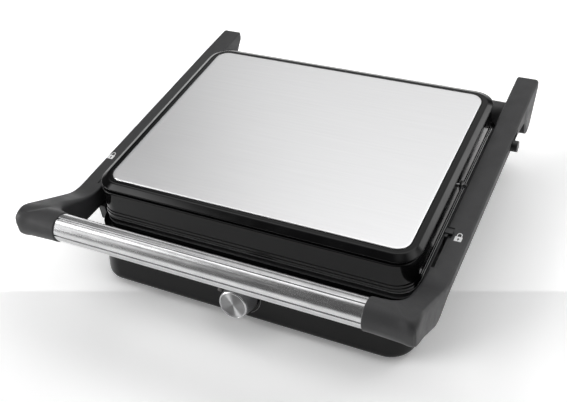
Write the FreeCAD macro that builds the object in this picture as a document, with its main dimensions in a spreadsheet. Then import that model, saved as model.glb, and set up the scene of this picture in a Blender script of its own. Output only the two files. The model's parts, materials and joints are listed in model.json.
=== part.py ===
import FreeCAD, Part
import math
import os
import re
import Sketcher
from FreeCAD import Placement, Rotation, Vector

# A contact grill (panini press): a base with a ribbed lower plate, and a handle frame of two side arms
# and a steel bar, hinged at the back of the base. The upper housing hangs between the arms on two pins
# and tilts a little, so that it lies flat on what is grilled.
#
# +X is to the right, +Y to the back and +Z up. The origin is on the table, in the middle of the
# footprint. Millimetres.

DIMENSIONS = [
    ("cook_mid", 8, "y of the middle of both cooking plates"),
    ("steel_width", 300, "brushed steel plate on the lid"),
    ("steel_depth", 230, ""),
    ("steel_corner", 13, ""),
    ("steel_thick", 0.8, ""),
    ("lid_top", 108, "height of the steel plate above the table"),
    ("rim_width", 311, "flat rim around the steel plate"),
    ("rim_depth", 239, ""),
    ("rim_corner", 17, ""),
    ("bevel_width", 322, "widest line of the lid's bevel"),
    ("bevel_depth", 253, ""),
    ("bevel_corner", 22, ""),
    ("bevel_low", 103, "underside of the bevelled cap"),
    ("bevel_edge", 1, "upright edge below the bevel"),
    ("neck_width", 314, "shadow groove under the bevel"),
    ("neck_depth", 247, ""),
    ("neck_low", 101.4, ""),
    ("wall_width", 317, "side walls of the lid"),
    ("wall_depth", 257, ""),
    ("wall_corner", 20, ""),
    ("lip_width", 321, "lip at the foot of the lid's walls"),
    ("lip_depth", 262, ""),
    ("lip_high", 75, ""),
    ("lip_low", 72, ""),
    ("shell_wall", 2.6, "plastic wall thickness"),
    ("cap_skin", 0.8, "plastic under the lid's bevelled cap"),
    ("post_radius", 4, "posts that hold the upper grill plate"),
    ("post_from_wall", 10.5, "post axis from the lid's neck"),
    ("post_from_pan", 14, "post axis from the pan's front and back"),
    ("flange_width", 319, "edge of a grill plate"),
    ("flange_depth", 260, ""),
    ("flange_thick", 2.1, ""),
    ("flange_corner", 19, ""),
    ("upper_flange", 69.3, "underside of the upper plate's flange"),
    ("lower_flange", 62.9, "underside of the lower plate's flange"),
    ("pan_width", 296, "cooking area"),
    ("pan_depth", 232, ""),
    ("pan_corner", 12, ""),
    ("pan_drop", 5.2, "how far a pan stands out behind its flange"),
    ("pan_wall", 3, ""),
    ("rib_wide", 3.4, ""),
    ("rib_pitch", 11.6, ""),
    ("rib_high", 3.9, ""),
    ("base_width", 326, ""),
    ("base_front_low", -144, "front of the base at its lower edge"),
    ("base_front_high", -131, "front of the base at its upper edge"),
    ("base_back", 150, ""),
    ("base_corner", 25, ""),
    ("base_low", 5, ""),
    ("base_high", 62.7, ""),
    ("base_round", 6, "rounding of the lower edge"),
    ("floor_thick", 3.4, ""),
    ("deck_width", 302, "opening in the base's top for the pan"),
    ("deck_depth", 238, ""),
    ("cover_width", 284, "bottom cover"),
    ("cover_depth", 244, ""),
    ("cover_thick", 3, ""),
    ("cover_corner", 12, ""),
    ("cover_play", 0.3, "gap round the bottom cover"),
    ("cover_back", 4, "how far the cover sits in front of the plates' middle"),
    ("screw_side", 9, "cover screws from the cover's sides"),
    ("screw_end", 28, "cover screws from the feet"),
    ("foot_radius", 9, ""),
    ("foot_across", 250, "between the feet, side to side"),
    ("foot_front", -108, ""),
    ("foot_back", 116, ""),
    ("hinge_y", 156, "lid hinge axis"),
    ("hinge_z", 63.2, ""),
    ("tower_radius", 14, ""),
    ("tower_inner", 120, "inner end of each hinge barrel"),
    ("tower_outer", 165.5, ""),
    ("tower_foot", 22, "lower end of the barrel's web"),
    ("tower_back", 167, ""),
    ("pin_radius", 4, "hinge pins"),
    ("running_gap", 0.05, "radial clearance of a pin in its bush"),
    ("bush_radius", 6, ""),
    ("arm_inner", 166, "inner face of each arm"),
    ("arm_outer", 188.5, "outer face of each arm"),
    ("arm_top", 88.5, ""),
    ("arm_low", 70, ""),
    ("arm_round", 3, "rounding of the arm's long edges"),
    ("tail_y", 196, "rear tip of each arm"),
    ("tail_high", 81.6, "lower corner of the rear tip"),
    ("lobe_radius", 14.5, "round end of the arm at the hinge"),
    ("rise_top_y", -117.5, "where the arm's top starts to rise"),
    ("rise_low_y", -133, "where the arm's underside starts to rise"),
    ("rise_slope", 31, "slope of the arm's front end, degrees"),
    ("bar_y", -184, "axis of the handle bar"),
    ("bar_z", 113.5, ""),
    ("bar_radius", 12.5, ""),
    ("bar_wall", 1.2, ""),
    ("bar_half", 145, "half of the bar's visible length"),
    ("bar_seat", 5, "depth of the bar's seat in each cuff"),
    ("bar_groove", 1.1, "width of the grooves along the bar"),
    ("groove_deep", 0.6, ""),
    ("groove_shift", 1.7, "grooves from the bar's top and front lines"),
    ("cuff_radius", 13.7, ""),
    ("cuff_corner", 20, "outer corner of the handle in plan"),
    ("cuff_inner_corner", 8, ""),
    ("rod_radius", 5, "tie rod in the bar"),
    ("rod_half", 172, ""),
    ("channel_in", 173, "channel in each arm, inner wall"),
    ("channel_out", 184.5, ""),
    ("channel_front", -100, ""),
    ("channel_back", 136, ""),
    ("channel_high", 85.9, ""),
    ("cover_strip", 2, "cover of the channel"),
    ("strip_screw", 5, "length of its screws, short of the latch bar"),
    ("slot_in", 167.2, "slot of the lock slider"),
    ("slot_out", 170.2, ""),
    ("slot_front", -98, ""),
    ("slot_back", -51, ""),
    ("recess_out", 173, "shallow recess around the slot"),
    ("recess_deep", 0.8, ""),
    ("slider_gap", 0.3, "play of the sliders in their slots"),
    ("slider_back", -52, "rear end of the slider"),
    ("slider_long", 10, ""),
    ("tongue_long", 27.5, "slider's tongue under the arm"),
    ("tongue_low", 62, ""),
    ("tongue_high", 65.4, ""),
    ("thumb_high", 91.2, ""),
    ("catch_front", -110, "lock catch on the base's side"),
    ("catch_stem", 6, ""),
    ("catch_long", 18, ""),
    ("catch_low", 52, ""),
    ("catch_high", 69, ""),
    ("catch_roof", 2.8, ""),
    ("catch_out", 170.5, ""),
    ("float_y", 17, "float pins of the upper housing"),
    ("float_z", 80, ""),
    ("float_radius", 2.5, ""),
    ("float_bush", 5, ""),
    ("float_end", 150, "inner end of each float pin"),
    ("peg_y", 89, "release peg"),
    ("peg_z", 80, ""),
    ("peg_radius", 5.5, ""),
    ("peg_end", 193.6, ""),
    ("peg_travel", 16, ""),
    ("latch_in", 177, "latch bar behind the peg"),
    ("latch_out", 181, ""),
    ("latch_front", 70, ""),
    ("latch_back", 118, ""),
    ("panel_y", -138.2, "middle of the knob on the front panel"),
    ("panel_z", 30.75, ""),
    ("panel_tilt", 12.7, "lean of the front panel, degrees"),
    ("knob_radius", 16.5, ""),
    ("knob_gap", 0.6, "between knob and panel"),
    ("knob_high", 16.4, ""),
    ("face_radius", 15, ""),
    ("face_high", 1.6, ""),
    ("knob_grooves", 36, ""),
    ("flute_radius", 0.8, ""),
    ("flute_from_axis", 16.8, ""),
    ("shaft_radius", 3, ""),
    ("shaft_back", -24, ""),
    ("shaft_front", 12, ""),
    ("switch_width", 30, "thermostat"),
    ("switch_deep", 18, ""),
    ("switch_back", -28, ""),
    ("switch_tall", 26, ""),
    ("bracket_thick", 1.4, ""),
    ("bracket_ear", 5.5, "how far the bracket stands out beside the thermostat"),
    ("boss_x", 18, "bosses behind the panel that carry the bracket"),
    ("boss_radius", 2, ""),
    ("lamp_x", -23.5, "indicator lamp"),
    ("lamp_up", -1.3, ""),
    ("lamp_radius", 2.4, ""),
    ("heater_radius", 3.3, ""),
    ("heater_half", 120, ""),
    ("heater_front", -74, ""),
    ("heater_back", 92, ""),
    ("heater_bend", 24, ""),
    ("heater_end", 26, "half of the gap between the terminals"),
    ("tray_width", 280, "reflector trays"),
    ("tray_depth", 214, ""),
    ("tray_high", 12, ""),
    ("tray_thick", 0.8, ""),
    ("tray_corner", 10, ""),
    ("tray_gap", 0.3, "between a tray and its grill plate"),
    ("strap_wide", 14, "straps that hold the upper tray"),
    ("strap_thick", 1.5, ""),
    ("strap_apart", 120, ""),
    ("inlet_x", 96, "cord inlet in the back wall"),
    ("inlet_z", 24, ""),
    ("inlet_radius", 6, ""),
    ("inlet_bore", 3.6, ""),
]

doc = FreeCAD.newDocument("panini_press")
sheet = doc.addObject("Spreadsheet::Sheet", "dims")
for row, (alias, value, note) in enumerate(DIMENSIONS, start=1):
    sheet.set(f"A{row}", str(value))
    sheet.setAlias(f"A{row}", alias)
    sheet.set(f"B{row}", note)
doc.recompute()

SIZES = {alias: float(value) for alias, value, _ in DIMENSIONS}
NODES = []


def expression(text):
    """A formula in plain names, with each name pointed at its cell of the sheet."""
    return re.sub(r"[a-z][a-z_]+", lambda m: "dims." + m[0] if m[0] in SIZES else m[0], str(text))


def number(text):
    """The value of such a formula, in millimetres or degrees."""
    names = dict(SIZES, tan=lambda a: math.tan(math.radians(a)), sin=lambda a: math.sin(math.radians(a)))
    tree = re.findall(r"[a-z][a-z_]*|[0-9.]+|[-+*/()]", str(text))
    return calculate(tree, names)


def calculate(tokens, names):
    """Adds, subtracts, multiplies and divides a formula's tokens, brackets first."""

    def factor():
        token = tokens.pop(0)
        if token == "-":
            return -factor()
        if token == "(":
            value = total()
            tokens.pop(0)
            return value
        if token in names:
            value = names[token]
            if callable(value):
                tokens.pop(0)
                inner = total()
                tokens.pop(0)
                return value(inner)
            return value
        return float(token)

    def product():
        value = factor()
        while tokens and tokens[0] in "*/":
            if tokens.pop(0) == "*":
                value *= factor()
            else:
                value /= factor()
        return value

    def total():
        value = product()
        while tokens and tokens[0] in "+-":
            if tokens.pop(0) == "+":
                value += product()
            else:
                value -= product()
        return value

    return total()


def bind(thing, **formulas):
    """Binds properties to formulas; a double underscore stands for a dot."""
    for name, text in formulas.items():
        thing.setExpression(name.replace("__", "."), expression(text))
    return thing


def move(thing, x=0, y=0, z=0):
    return bind(thing, Placement__Base__x=x, Placement__Base__y=y, Placement__Base__z=z)


def node(name, thing):
    """Names a finished sub-part and puts it on the list of files."""
    thing.Label = name
    NODES.append(thing)
    return thing


def box(name, x, y, z):
    """A block between two x, two y and two z."""
    block = doc.addObject("Part::Box", name)
    bind(block, Length=f"({x[1]}) - ({x[0]})", Width=f"({y[1]}) - ({y[0]})", Height=f"({z[1]}) - ({z[0]})")
    return move(block, x[0], y[0], z[0])


TURNS = {"x": Rotation(Vector(0, 1, 0), 90), "y": Rotation(Vector(1, 0, 0), -90), "z": Rotation()}


def rod(name, radius, along, start, end, x=0, y=0, z=0):
    """A cylinder along one axis from start to end; the two other coordinates are its centre."""
    bar = doc.addObject("Part::Cylinder", name)
    bar.Placement = Placement(Vector(), TURNS[along])
    bind(bar, Radius=radius, Height=f"({end}) - ({start})")
    place = {"x": x, "y": y, "z": z}
    place[along] = start
    return move(bar, **place)


def cut(name, body, *tools):
    """The body with the tools taken away."""
    tool = tools[0] if len(tools) == 1 else group(name + "_tools", *tools)
    result = doc.addObject("Part::Cut", name)
    result.Base = body
    result.Tool = tool
    return result


def fuse(name, *pieces):
    result = doc.addObject("Part::MultiFuse", name)
    result.Shapes = list(pieces)
    result.Refine = True
    return result


def group(name, *pieces):
    """Separate solids that belong together, such as a set of screws."""
    result = doc.addObject("Part::Compound", name)
    result.Links = list(pieces)
    return result


def mirror(name, thing):
    """The same piece on the other side of the middle plane."""
    result = doc.addObject("Part::Mirroring", name)
    result.Source = thing
    result.Normal = Vector(1, 0, 0)
    return result


def body(name):
    return doc.addObject("PartDesign::Body", name)


def sketch(owner, name, plane, lift=0, shift=0):
    """An empty sketch on one of the body's own planes, lifted off it and shifted along its v axis."""
    drawing = owner.newObject("Sketcher::SketchObject", name)
    planes = {feature.Role: feature for feature in owner.Origin.OriginFeatures}
    drawing.AttachmentSupport = [(planes[plane], "")]
    drawing.MapMode = "FlatFace"
    bind(drawing, AttachmentOffset__Base__z=lift, AttachmentOffset__Base__y=shift)
    return drawing


def outline(owner, name, plane, corners, lift=0):
    """A closed outline of straight lines; each corner is bound to its two formulas."""
    drawing = sketch(owner, name, plane, lift)
    points = [Vector(number(u), number(v), 0) for u, v in corners]
    count = len(points)
    for i in range(count):
        drawing.addGeometry(Part.LineSegment(points[i], points[(i + 1) % count]))
    for i in range(count):
        drawing.addConstraint(Sketcher.Constraint("Coincident", i, 2, (i + 1) % count, 1))
    for i, (u, v) in enumerate(corners):
        for kind, value, formula in (("DistanceX", points[i].x, u), ("DistanceY", points[i].y, v)):
            at = drawing.addConstraint(Sketcher.Constraint(kind, -1, 1, i, 1, value))
            drawing.setExpression(f"Constraints[{at}]", expression(formula))
    return drawing


def rounded(owner, name, width, depth, corner, lift=0, shift=0):
    """A rectangle with four equal round corners, centred on x = 0 and y = shift."""
    drawing = sketch(owner, name, "XY_Plane", lift, shift)
    wide, deep, radius = number(width), number(depth), number(corner)
    x, y = wide / 2 - radius, deep / 2 - radius
    sides = [
        ((-x, -deep / 2), (x, -deep / 2)),
        ((wide / 2, -y), (wide / 2, y)),
        ((x, deep / 2), (-x, deep / 2)),
        ((-wide / 2, y), (-wide / 2, -y)),
    ]
    for start, end in sides:
        drawing.addGeometry(Part.LineSegment(Vector(*start, 0), Vector(*end, 0)))
    for i, centre in enumerate(((x, -y), (x, y), (-x, y), (-x, -y))):
        circle = Part.Circle(Vector(*centre, 0), Vector(0, 0, 1), radius)
        start = math.radians(90 * i - 90)
        drawing.addGeometry(Part.ArcOfCircle(circle, start, start + math.pi / 2))
    for i in range(4):
        drawing.addConstraint(Sketcher.Constraint("Tangent", i, 2, 4 + i, 1))
        drawing.addConstraint(Sketcher.Constraint("Tangent", 4 + i, 2, (i + 1) % 4, 1))
        drawing.addConstraint(Sketcher.Constraint(("Horizontal", "Vertical")[i % 2], i))
    for i in range(3):
        drawing.addConstraint(Sketcher.Constraint("Equal", 4 + i, 5 + i))
    drawing.addConstraint(Sketcher.Constraint("Symmetric", 4, 3, 6, 3, -1, 1))
    radius_at = drawing.addConstraint(Sketcher.Constraint("Radius", 4, radius))
    width_at = drawing.addConstraint(Sketcher.Constraint("DistanceX", 3, 1, 1, 1, wide))
    depth_at = drawing.addConstraint(Sketcher.Constraint("DistanceY", 0, 1, 2, 2, deep))
    for at, formula in ((radius_at, corner), (width_at, width), (depth_at, depth)):
        drawing.setExpression(f"Constraints[{at}]", expression(formula))
    return drawing


def pad(owner, name, profile, length):
    feature = owner.newObject("PartDesign::Pad", name)
    feature.Profile = profile
    return bind(feature, Length=length)


def pocket(owner, name, profile, length, up=False):
    """A pocket from the sketch downwards, or upwards if up."""
    feature = owner.newObject("PartDesign::Pocket", name)
    feature.Profile = profile
    feature.Reversed = up
    return bind(feature, Length=length)


def loft(owner, name, low, high, kind="AdditiveLoft"):
    feature = owner.newObject("PartDesign::" + kind, name)
    feature.Profile = low
    feature.Sections = [high]
    feature.Ruled = True
    return feature


def fillet(name, thing, radius, wanted):
    """Rounds the edges for which wanted(edge) is true."""
    doc.recompute()
    edges = [i for i, edge in enumerate(thing.Shape.Edges, start=1) if wanted(edge)]
    size = number(radius)
    result = doc.addObject("Part::Fillet", name)
    result.Base = thing
    result.Edges = [(i, size, size) for i in edges]
    return result


def middle(edge):
    return edge.valueAt((edge.FirstParameter + edge.LastParameter) / 2)


# ---------------------------------------------------------------- base
LEAN = "(base_front_high - base_front_low) / (base_high - base_low)"
ROUND_STEPS = 3


def base_section(owner, name, height, inset):
    """The base's outline at a height above its lower edge, drawn in by an inset."""
    front = f"base_front_low + ({height}) * {LEAN} + ({inset})"
    back = f"base_back - ({inset})"
    return rounded(owner, name, f"base_width - 2 * ({inset})", f"{back} - ({front})",
                   f"base_corner - ({inset})", f"base_low + ({height})", f"({back} + {front}) / 2")


hull = body("base_hull")
sections = []
for i in range(ROUND_STEPS + 1):
    turn = f"{90 * i / ROUND_STEPS:.0f}"
    sections.append(base_section(hull, f"base_turn_{i}", f"base_round * (1 - sin(90 - {turn}))",
                                 f"base_round * (1 - sin({turn}))"))
sections.append(base_section(hull, "base_rim", "base_high - base_low", 0))
base_loft = loft(hull, "base_outside", sections[0], sections[1])
base_loft.Sections = sections[1:]
room = body("base_room")
inner_low = rounded(room, "room_foot", "base_width - 2 * shell_wall",
                    f"base_back - base_front_low - 2 * shell_wall - floor_thick * {LEAN}",
                    "base_corner - shell_wall", "base_low + floor_thick",
                    f"(base_back + base_front_low + floor_thick * {LEAN}) / 2")
inner_high = rounded(room, "room_rim", "base_width - 2 * shell_wall",
                     f"base_back - base_front_high - 2 * shell_wall + shell_wall * {LEAN}",
                     "base_corner - shell_wall", "base_high - shell_wall",
                     f"(base_back + base_front_high - shell_wall * {LEAN}) / 2")
loft(room, "base_inside", inner_low, inner_high)
deck = body("base_deck_cut")
pad(deck, "deck_opening", rounded(deck, "deck_edge", "deck_width", "deck_depth", "pan_corner + 3",
                                  "base_high - 2 * shell_wall", "cook_mid"), "3 * shell_wall")
under = body("base_under_cut")
pad(under, "under_opening", rounded(under, "under_edge", "cover_width + 2 * cover_play",
                                    "cover_depth + 2 * cover_play", "cover_corner",
                                    "base_low - 1", "cook_mid - cover_back"), "floor_thick + 2")


def on_panel(thing, x=0, up=0, out=0):
    """Stands a piece made along +Z square on the leaning front panel, beside, above and out from the knob."""
    thing.Placement = Placement(Vector(), Rotation(Vector(1, 0, 0), number("90 - panel_tilt")))
    bind(thing, Placement__Rotation__Angle="90 - panel_tilt")
    return move(thing, x, f"panel_y + ({up}) * sin(panel_tilt) - ({out}) * cos(panel_tilt)",
                f"panel_z + ({up}) * cos(panel_tilt) + ({out}) * sin(panel_tilt)")


def panel_rod(name, radius, start, end, x=0, up=0):
    """A cylinder square to the front panel, from start to end measured out of it."""
    pin = doc.addObject("Part::Cylinder", name)
    bind(pin, Radius=radius, Height=f"({end}) - ({start})")
    return on_panel(pin, x, up, start)


def panel_box(name, wide, tall, start, end):
    """A block square to the front panel, centred on the knob's axis."""
    block = doc.addObject("Part::Box", name)
    bind(block, Length=wide, Width=tall, Height=f"({end}) - ({start})")
    return on_panel(block, f"0 - ({wide}) / 2", f"0 - ({tall}) / 2", start)


shaft_hole = panel_rod("shaft_hole", "shaft_radius + 1.2", -8, 4)
lamp_hole = panel_rod("lamp_hole", "lamp_radius", -8, 4, "lamp_x", "lamp_up")
inlet_hole = rod("inlet_hole", "inlet_radius", "y", "base_back - 6", "base_back + 2",
                 x="inlet_x", z="inlet_z")
bosses = [panel_rod(f"bracket_boss_{i}", "boss_radius", "switch_back + switch_deep + bracket_thick",
                    "0 - shell_wall / 2", x) for i, x in enumerate(("0 - boss_x", "boss_x"))]
base_opened = cut("base_cut", hull, room, deck, under, shaft_hole, lamp_hole, inlet_hole)
node("base_shell", fuse("base_with_bosses", base_opened, *bosses))

bottom = body("cover_slab")
pad(bottom, "cover_plate", rounded(bottom, "cover_edge", "cover_width", "cover_depth", "cover_corner",
                                   "base_low", "cook_mid - cover_back"), "cover_thick")
vents = []
for i in range(7):
    vents.append(box(f"vent_{i}", (f"{i * 14 - 44}", f"{i * 14 - 40}"), (-30, 40), (0, 10)))
FEET = [(side, end) for side in ("-foot_across / 2", "foot_across / 2")
        for end in ("foot_front", "foot_back")]
stud_holes = [rod(f"foot_hole_{i}", 2.5, "z", 4, 9, x=x, y=y) for i, (x, y) in enumerate(FEET)]
SCREWS = [(x, y) for x in ("-cover_width / 2 + screw_side", 0, "cover_width / 2 - screw_side")
          for y in ("foot_front + screw_end", "foot_back - screw_end")]
screw_holes = [rod(f"screw_hole_{i}", 1.7, "z", 4, 9, x=x, y=y) for i, (x, y) in enumerate(SCREWS)]
node("base_bottom_cover", cut("cover_cut", bottom, *vents, *stud_holes, *screw_holes))

feet = []
for i, (x, y) in enumerate(FEET):
    pad_of_foot = rod(f"foot_pad_{i}", "foot_radius", "z", 0, "base_low", x=x, y=y)
    stud = rod(f"foot_stud_{i}", 2.5, "z", 0, "base_low + cover_thick + 1.5", x=x, y=y)
    feet.append(fuse(f"foot_{i}", pad_of_foot, stud))
node("rubber_feet", group("foot_set", *feet))


def screw(name, x, y, low, shank, length, head=2.8, head_high=1.6):
    """A pan-head screw standing up from its head at z = low."""
    top = rod(name + "_head", head, "z", f"({low}) - {head_high}", low, x=x, y=y)
    stem = rod(name + "_stem", shank, "z", f"({low}) - {head_high} / 2", f"({low}) + {length}", x=x, y=y)
    return fuse(name, top, stem)


node("bottom_cover_screws", group("cover_screw_set", *[
    screw(f"cover_screw_{i}", x, y, "base_low", 1.7, 9) for i, (x, y) in enumerate(SCREWS)]))

# ---------------------------------------------------------------- grill plates
RIBS = 24


def grill_plate(name, flange_low, up):
    """A cast plate: a thin flange, a pan behind it and ribs that stand up out of the pan."""
    slab = body(name + "_slab")
    pad(slab, name + "_flange", rounded(slab, name + "_edge", "flange_width", "flange_depth", "flange_corner",
                                        flange_low, "cook_mid"), "flange_thick")
    back_low = f"{flange_low} + flange_thick" if up else f"{flange_low} - pan_drop"
    pad(slab, name + "_pan", rounded(slab, name + "_pan_edge", "pan_width", "pan_depth", "pan_corner",
                                     back_low, "cook_mid"), "pan_drop")
    hollow = body(name + "_hollow")
    if up:
        floor = f"{flange_low} + flange_thick + pan_drop - pan_wall"
        low = f"{flange_low} - 1"
    else:
        floor = f"{flange_low} - pan_drop + pan_wall"
        low = floor
    depth = "flange_thick + pan_drop - pan_wall + 1"
    pad(hollow, name + "_well",
        rounded(hollow, name + "_well_edge", "pan_width - 2 * pan_wall", "pan_depth - 2 * pan_wall",
                "pan_corner - pan_wall", low, "cook_mid"), depth)
    ribs = []
    for i in range(RIBS):
        across = f"({i} - {RIBS - 1} / 2) * rib_pitch"
        rib = body(f"{name}_rib_{i}")
        half = "rib_wide / 2"
        top = f"{floor} - rib_high" if up else f"{floor} + rib_high"
        root = f"{floor} + 0.5" if up else f"{floor} - 0.5"
        pad(rib, f"{name}_ridge_{i}", outline(rib, f"{name}_section_{i}", "XZ_Plane", [
            (f"{across} - {half}", root), (f"{across} + {half}", root),
            (f"{across} + {half} * 0.55", top), (f"{across} - {half} * 0.55", top)],
            "0 - cook_mid - pan_depth / 2 + pan_wall + 4"), "pan_depth - 2 * pan_wall - 8")
        ribs.append(rib)
    return node(name, fuse(name + "_cast", cut(name + "_tray", slab, hollow), *ribs))


grill_plate("lower_grill_plate", "lower_flange", False)
grill_plate("upper_grill_plate", "upper_flange", True)

# ---------------------------------------------------------------- heaters and reflectors
HEATER_TURNS = [
    [("-heater_half + heater_bend", "heater_back"), ("-heater_half", "heater_back - heater_bend")],
    [("-heater_half", "heater_front + heater_bend"), ("-heater_half + heater_bend", "heater_front")],
    [("heater_half - heater_bend", "heater_front"), ("heater_half", "heater_front + heater_bend")],
    [("heater_half", "heater_back - heater_bend"), ("heater_half - heater_bend", "heater_back")],
]
HEATER_STOPS = [("-heater_end", "heater_back"), *sum(HEATER_TURNS, []), ("heater_end", "heater_back")]
OUTWARD = math.sqrt(0.5)


def heater_path(drawing):
    """Straight runs joined by quarter turns, all to the left; every end of a run is bound to its formulas."""
    stops = [Vector(number(x), number(y), 0) for x, y in HEATER_STOPS]
    for i in range(0, len(stops) - 1, 2):
        drawing.addGeometry(Part.LineSegment(stops[i], stops[i + 1]))
        for end in (0, 1):
            for kind, formula in zip(("DistanceX", "DistanceY"), HEATER_STOPS[i + end]):
                held = Sketcher.Constraint(kind, -1, 1, i // 2, end + 1, number(formula))
                at = drawing.addConstraint(held)
                drawing.setExpression(f"Constraints[{at}]", expression(formula))
    runs = len(stops) // 2
    bend = number("heater_bend")
    for i in range(runs - 1):
        enter, leave = stops[2 * i + 1], stops[2 * i + 2]
        out = Vector(math.copysign(1, enter.x), 1 if i in (0, runs - 2) else -1, 0)
        centre = Vector((enter.x + leave.x) / 2, (enter.y + leave.y) / 2, 0) - out * (bend / 2)
        drawing.addGeometry(Part.Arc(enter, centre + out * (bend * OUTWARD), leave))
        drawing.addConstraint(Sketcher.Constraint("Tangent", i, 2, runs + i, 1))
        drawing.addConstraint(Sketcher.Constraint("Coincident", i + 1, 1, runs + i, 2))


def heater(name, height):
    """A bent heating tube with its two ends towards the back; height is its axis."""
    tube = body(name + "_body")
    path = sketch(tube, name + "_path", "XY_Plane", height)
    heater_path(path)
    ring = sketch(tube, name + "_ring", "YZ_Plane", "0 - heater_end")
    ring.addGeometry(Part.Circle(Vector(number("heater_back"), number(height), 0), Vector(0, 0, 1),
                                 number("heater_radius")))
    facts = (("Radius", (0,), "heater_radius"), ("DistanceX", (-1, 1, 0, 3), "heater_back"),
             ("DistanceY", (-1, 1, 0, 3), height))
    for kind, where, formula in facts:
        at = ring.addConstraint(Sketcher.Constraint(kind, *where, number(formula)))
        ring.setExpression(f"Constraints[{at}]", expression(formula))
    sweep = tube.newObject("PartDesign::AdditivePipe", name + "_tube")
    sweep.Profile = ring
    sweep.Spine = (path, [""])
    return node(name, tube)


PAN_BOTTOM = "lower_flange - pan_drop"
PAN_BACK = "upper_flange + flange_thick + pan_drop"
heater("lower_heating_element", f"{PAN_BOTTOM} - heater_radius - 0.2")
heater("upper_heating_element", f"{PAN_BACK} + heater_radius + 0.2")


def reflector(name, low, up):
    """A folded sheet tray around the heater, open towards the grill plate."""
    sheet_tray = body(name + "_sheet")
    pad(sheet_tray, name + "_block", rounded(sheet_tray, name + "_edge", "tray_width", "tray_depth",
                                             "tray_corner", low, "cook_mid"), "tray_high")
    floor = f"{low} - 1" if up else f"{low} + tray_thick"
    inside = body(name + "_room")
    pad(inside, name + "_space",
        rounded(inside, name + "_inside", "tray_width - 2 * tray_thick", "tray_depth - 2 * tray_thick",
                "tray_corner - tray_thick", floor, "cook_mid"),
        "tray_high - tray_thick + 1")
    return node(name, cut(name + "_folded", sheet_tray, inside))


reflector("lower_reflector", f"{PAN_BOTTOM} - tray_high - tray_gap", False)
reflector("upper_reflector", f"{PAN_BACK} + tray_gap", True)

# ---------------------------------------------------------------- lid
lid = body("lid_body")
pad(lid, "lid_lip",
    rounded(lid, "lip_edge", "lip_width", "lip_depth", "wall_corner + 2", "lip_low", "cook_mid"),
    "lip_high - lip_low")
loft(lid, "lid_walls",
     rounded(lid, "wall_foot", "wall_width + 1.5", "wall_depth + 2", "wall_corner", "lip_high", "cook_mid"),
     rounded(lid, "wall_head", "wall_width", "wall_depth", "wall_corner", "neck_low", "cook_mid"))
pad(lid, "lid_neck",
    rounded(lid, "neck_edge", "neck_width", "neck_depth", "wall_corner - 2", "neck_low", "cook_mid"),
    "bevel_low - neck_low")
pad(lid, "lid_cap",
    rounded(lid, "cap_edge", "bevel_width", "bevel_depth", "bevel_corner", "bevel_low", "cook_mid"),
    "bevel_edge")
loft(lid, "lid_bevel",
     rounded(lid, "bevel_foot", "bevel_width", "bevel_depth", "bevel_corner", "bevel_low + bevel_edge",
             "cook_mid"),
     rounded(lid, "bevel_head", "rim_width", "rim_depth", "rim_corner", "lid_top - steel_thick",
             "cook_mid"))
LID_CEILING = "bevel_low + bevel_edge - cap_skin"
lid_room = body("lid_room")
pad(lid_room, "lid_space",
    rounded(lid_room, "lid_inside", "neck_width - 2 * shell_wall", "neck_depth - 2 * shell_wall",
            "wall_corner - 2 - shell_wall", "lip_low - 1", "cook_mid"),
    f"{LID_CEILING} - lip_low + 1")
POSTS = [(side, end) for side in ("-neck_width / 2 + post_from_wall", "neck_width / 2 - post_from_wall")
         for end in ("cook_mid - pan_depth / 2 + post_from_pan", "cook_mid + pan_depth / 2 - post_from_pan")]
posts = [rod(f"post_{i}", "post_radius", "z", PAN_BACK, LID_CEILING, x=x, y=y)
         for i, (x, y) in enumerate(POSTS)]
post_holes = [rod(f"post_hole_{i}", 1.5, "z", f"{PAN_BACK} - 1", f"{PAN_BACK} + 14", x=x, y=y)
              for i, (x, y) in enumerate(POSTS)]
BUSH_HOLES = (("-wall_width / 2 - 3", "-float_end - 1"), ("float_end + 1", "wall_width / 2 + 3"))
bush_holes = [rod(f"lid_bush_hole_{i}", "float_bush", "x", start, end, y="float_y", z="float_z")
              for i, (start, end) in enumerate(BUSH_HOLES)]
lid_hollow = cut("lid_hollow", lid, lid_room)
node("lid_shell", cut("lid_drilled", fuse("lid_with_posts", lid_hollow, *posts), *post_holes, *bush_holes))

top_plate = body("steel_plate")
pad(top_plate, "steel_sheet", rounded(top_plate, "steel_edge", "steel_width", "steel_depth", "steel_corner",
                                      "lid_top - steel_thick", "cook_mid"), "steel_thick")
node("steel_top_plate", top_plate)

studs = [rod(f"plate_stud_{i}", 1.5, "z", PAN_BACK, f"{PAN_BACK} + 12", x=x, y=y)
         for i, (x, y) in enumerate(POSTS)]
node("upper_plate_studs", group("plate_stud_set", *studs))

STRAP_LOW = f"{PAN_BACK} + tray_gap + tray_high"
straps = [box(f"strap_{i}", ("-neck_width / 2 + shell_wall", "neck_width / 2 - shell_wall"),
              (f"cook_mid + {y} - strap_wide / 2", f"cook_mid + {y} + strap_wide / 2"),
              (STRAP_LOW, f"{STRAP_LOW} + strap_thick"))
          for i, y in enumerate(("(-strap_apart / 2)", "(strap_apart / 2)"))]
node("lid_cross_straps", group("strap_set", *straps))


def both_sides(make):
    """Two pieces, on the left and on the right; make(side) gets -1 or 1."""
    return [make(-1), make(1)]


def side_rod(name, radius, inner, outer, y, z, side):
    """A cylinder along X between two distances from the middle plane, on one side."""
    start, end = (inner, outer) if side > 0 else (f"0 - ({outer})", f"0 - ({inner})")
    return rod(f"{name}_{'left' if side < 0 else 'right'}", radius, "x", start, end, y=y, z=z)


BUSH_IN = "neck_width / 2 - shell_wall"
BUSH_OUT = "wall_width / 2 + 1.6"


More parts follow.
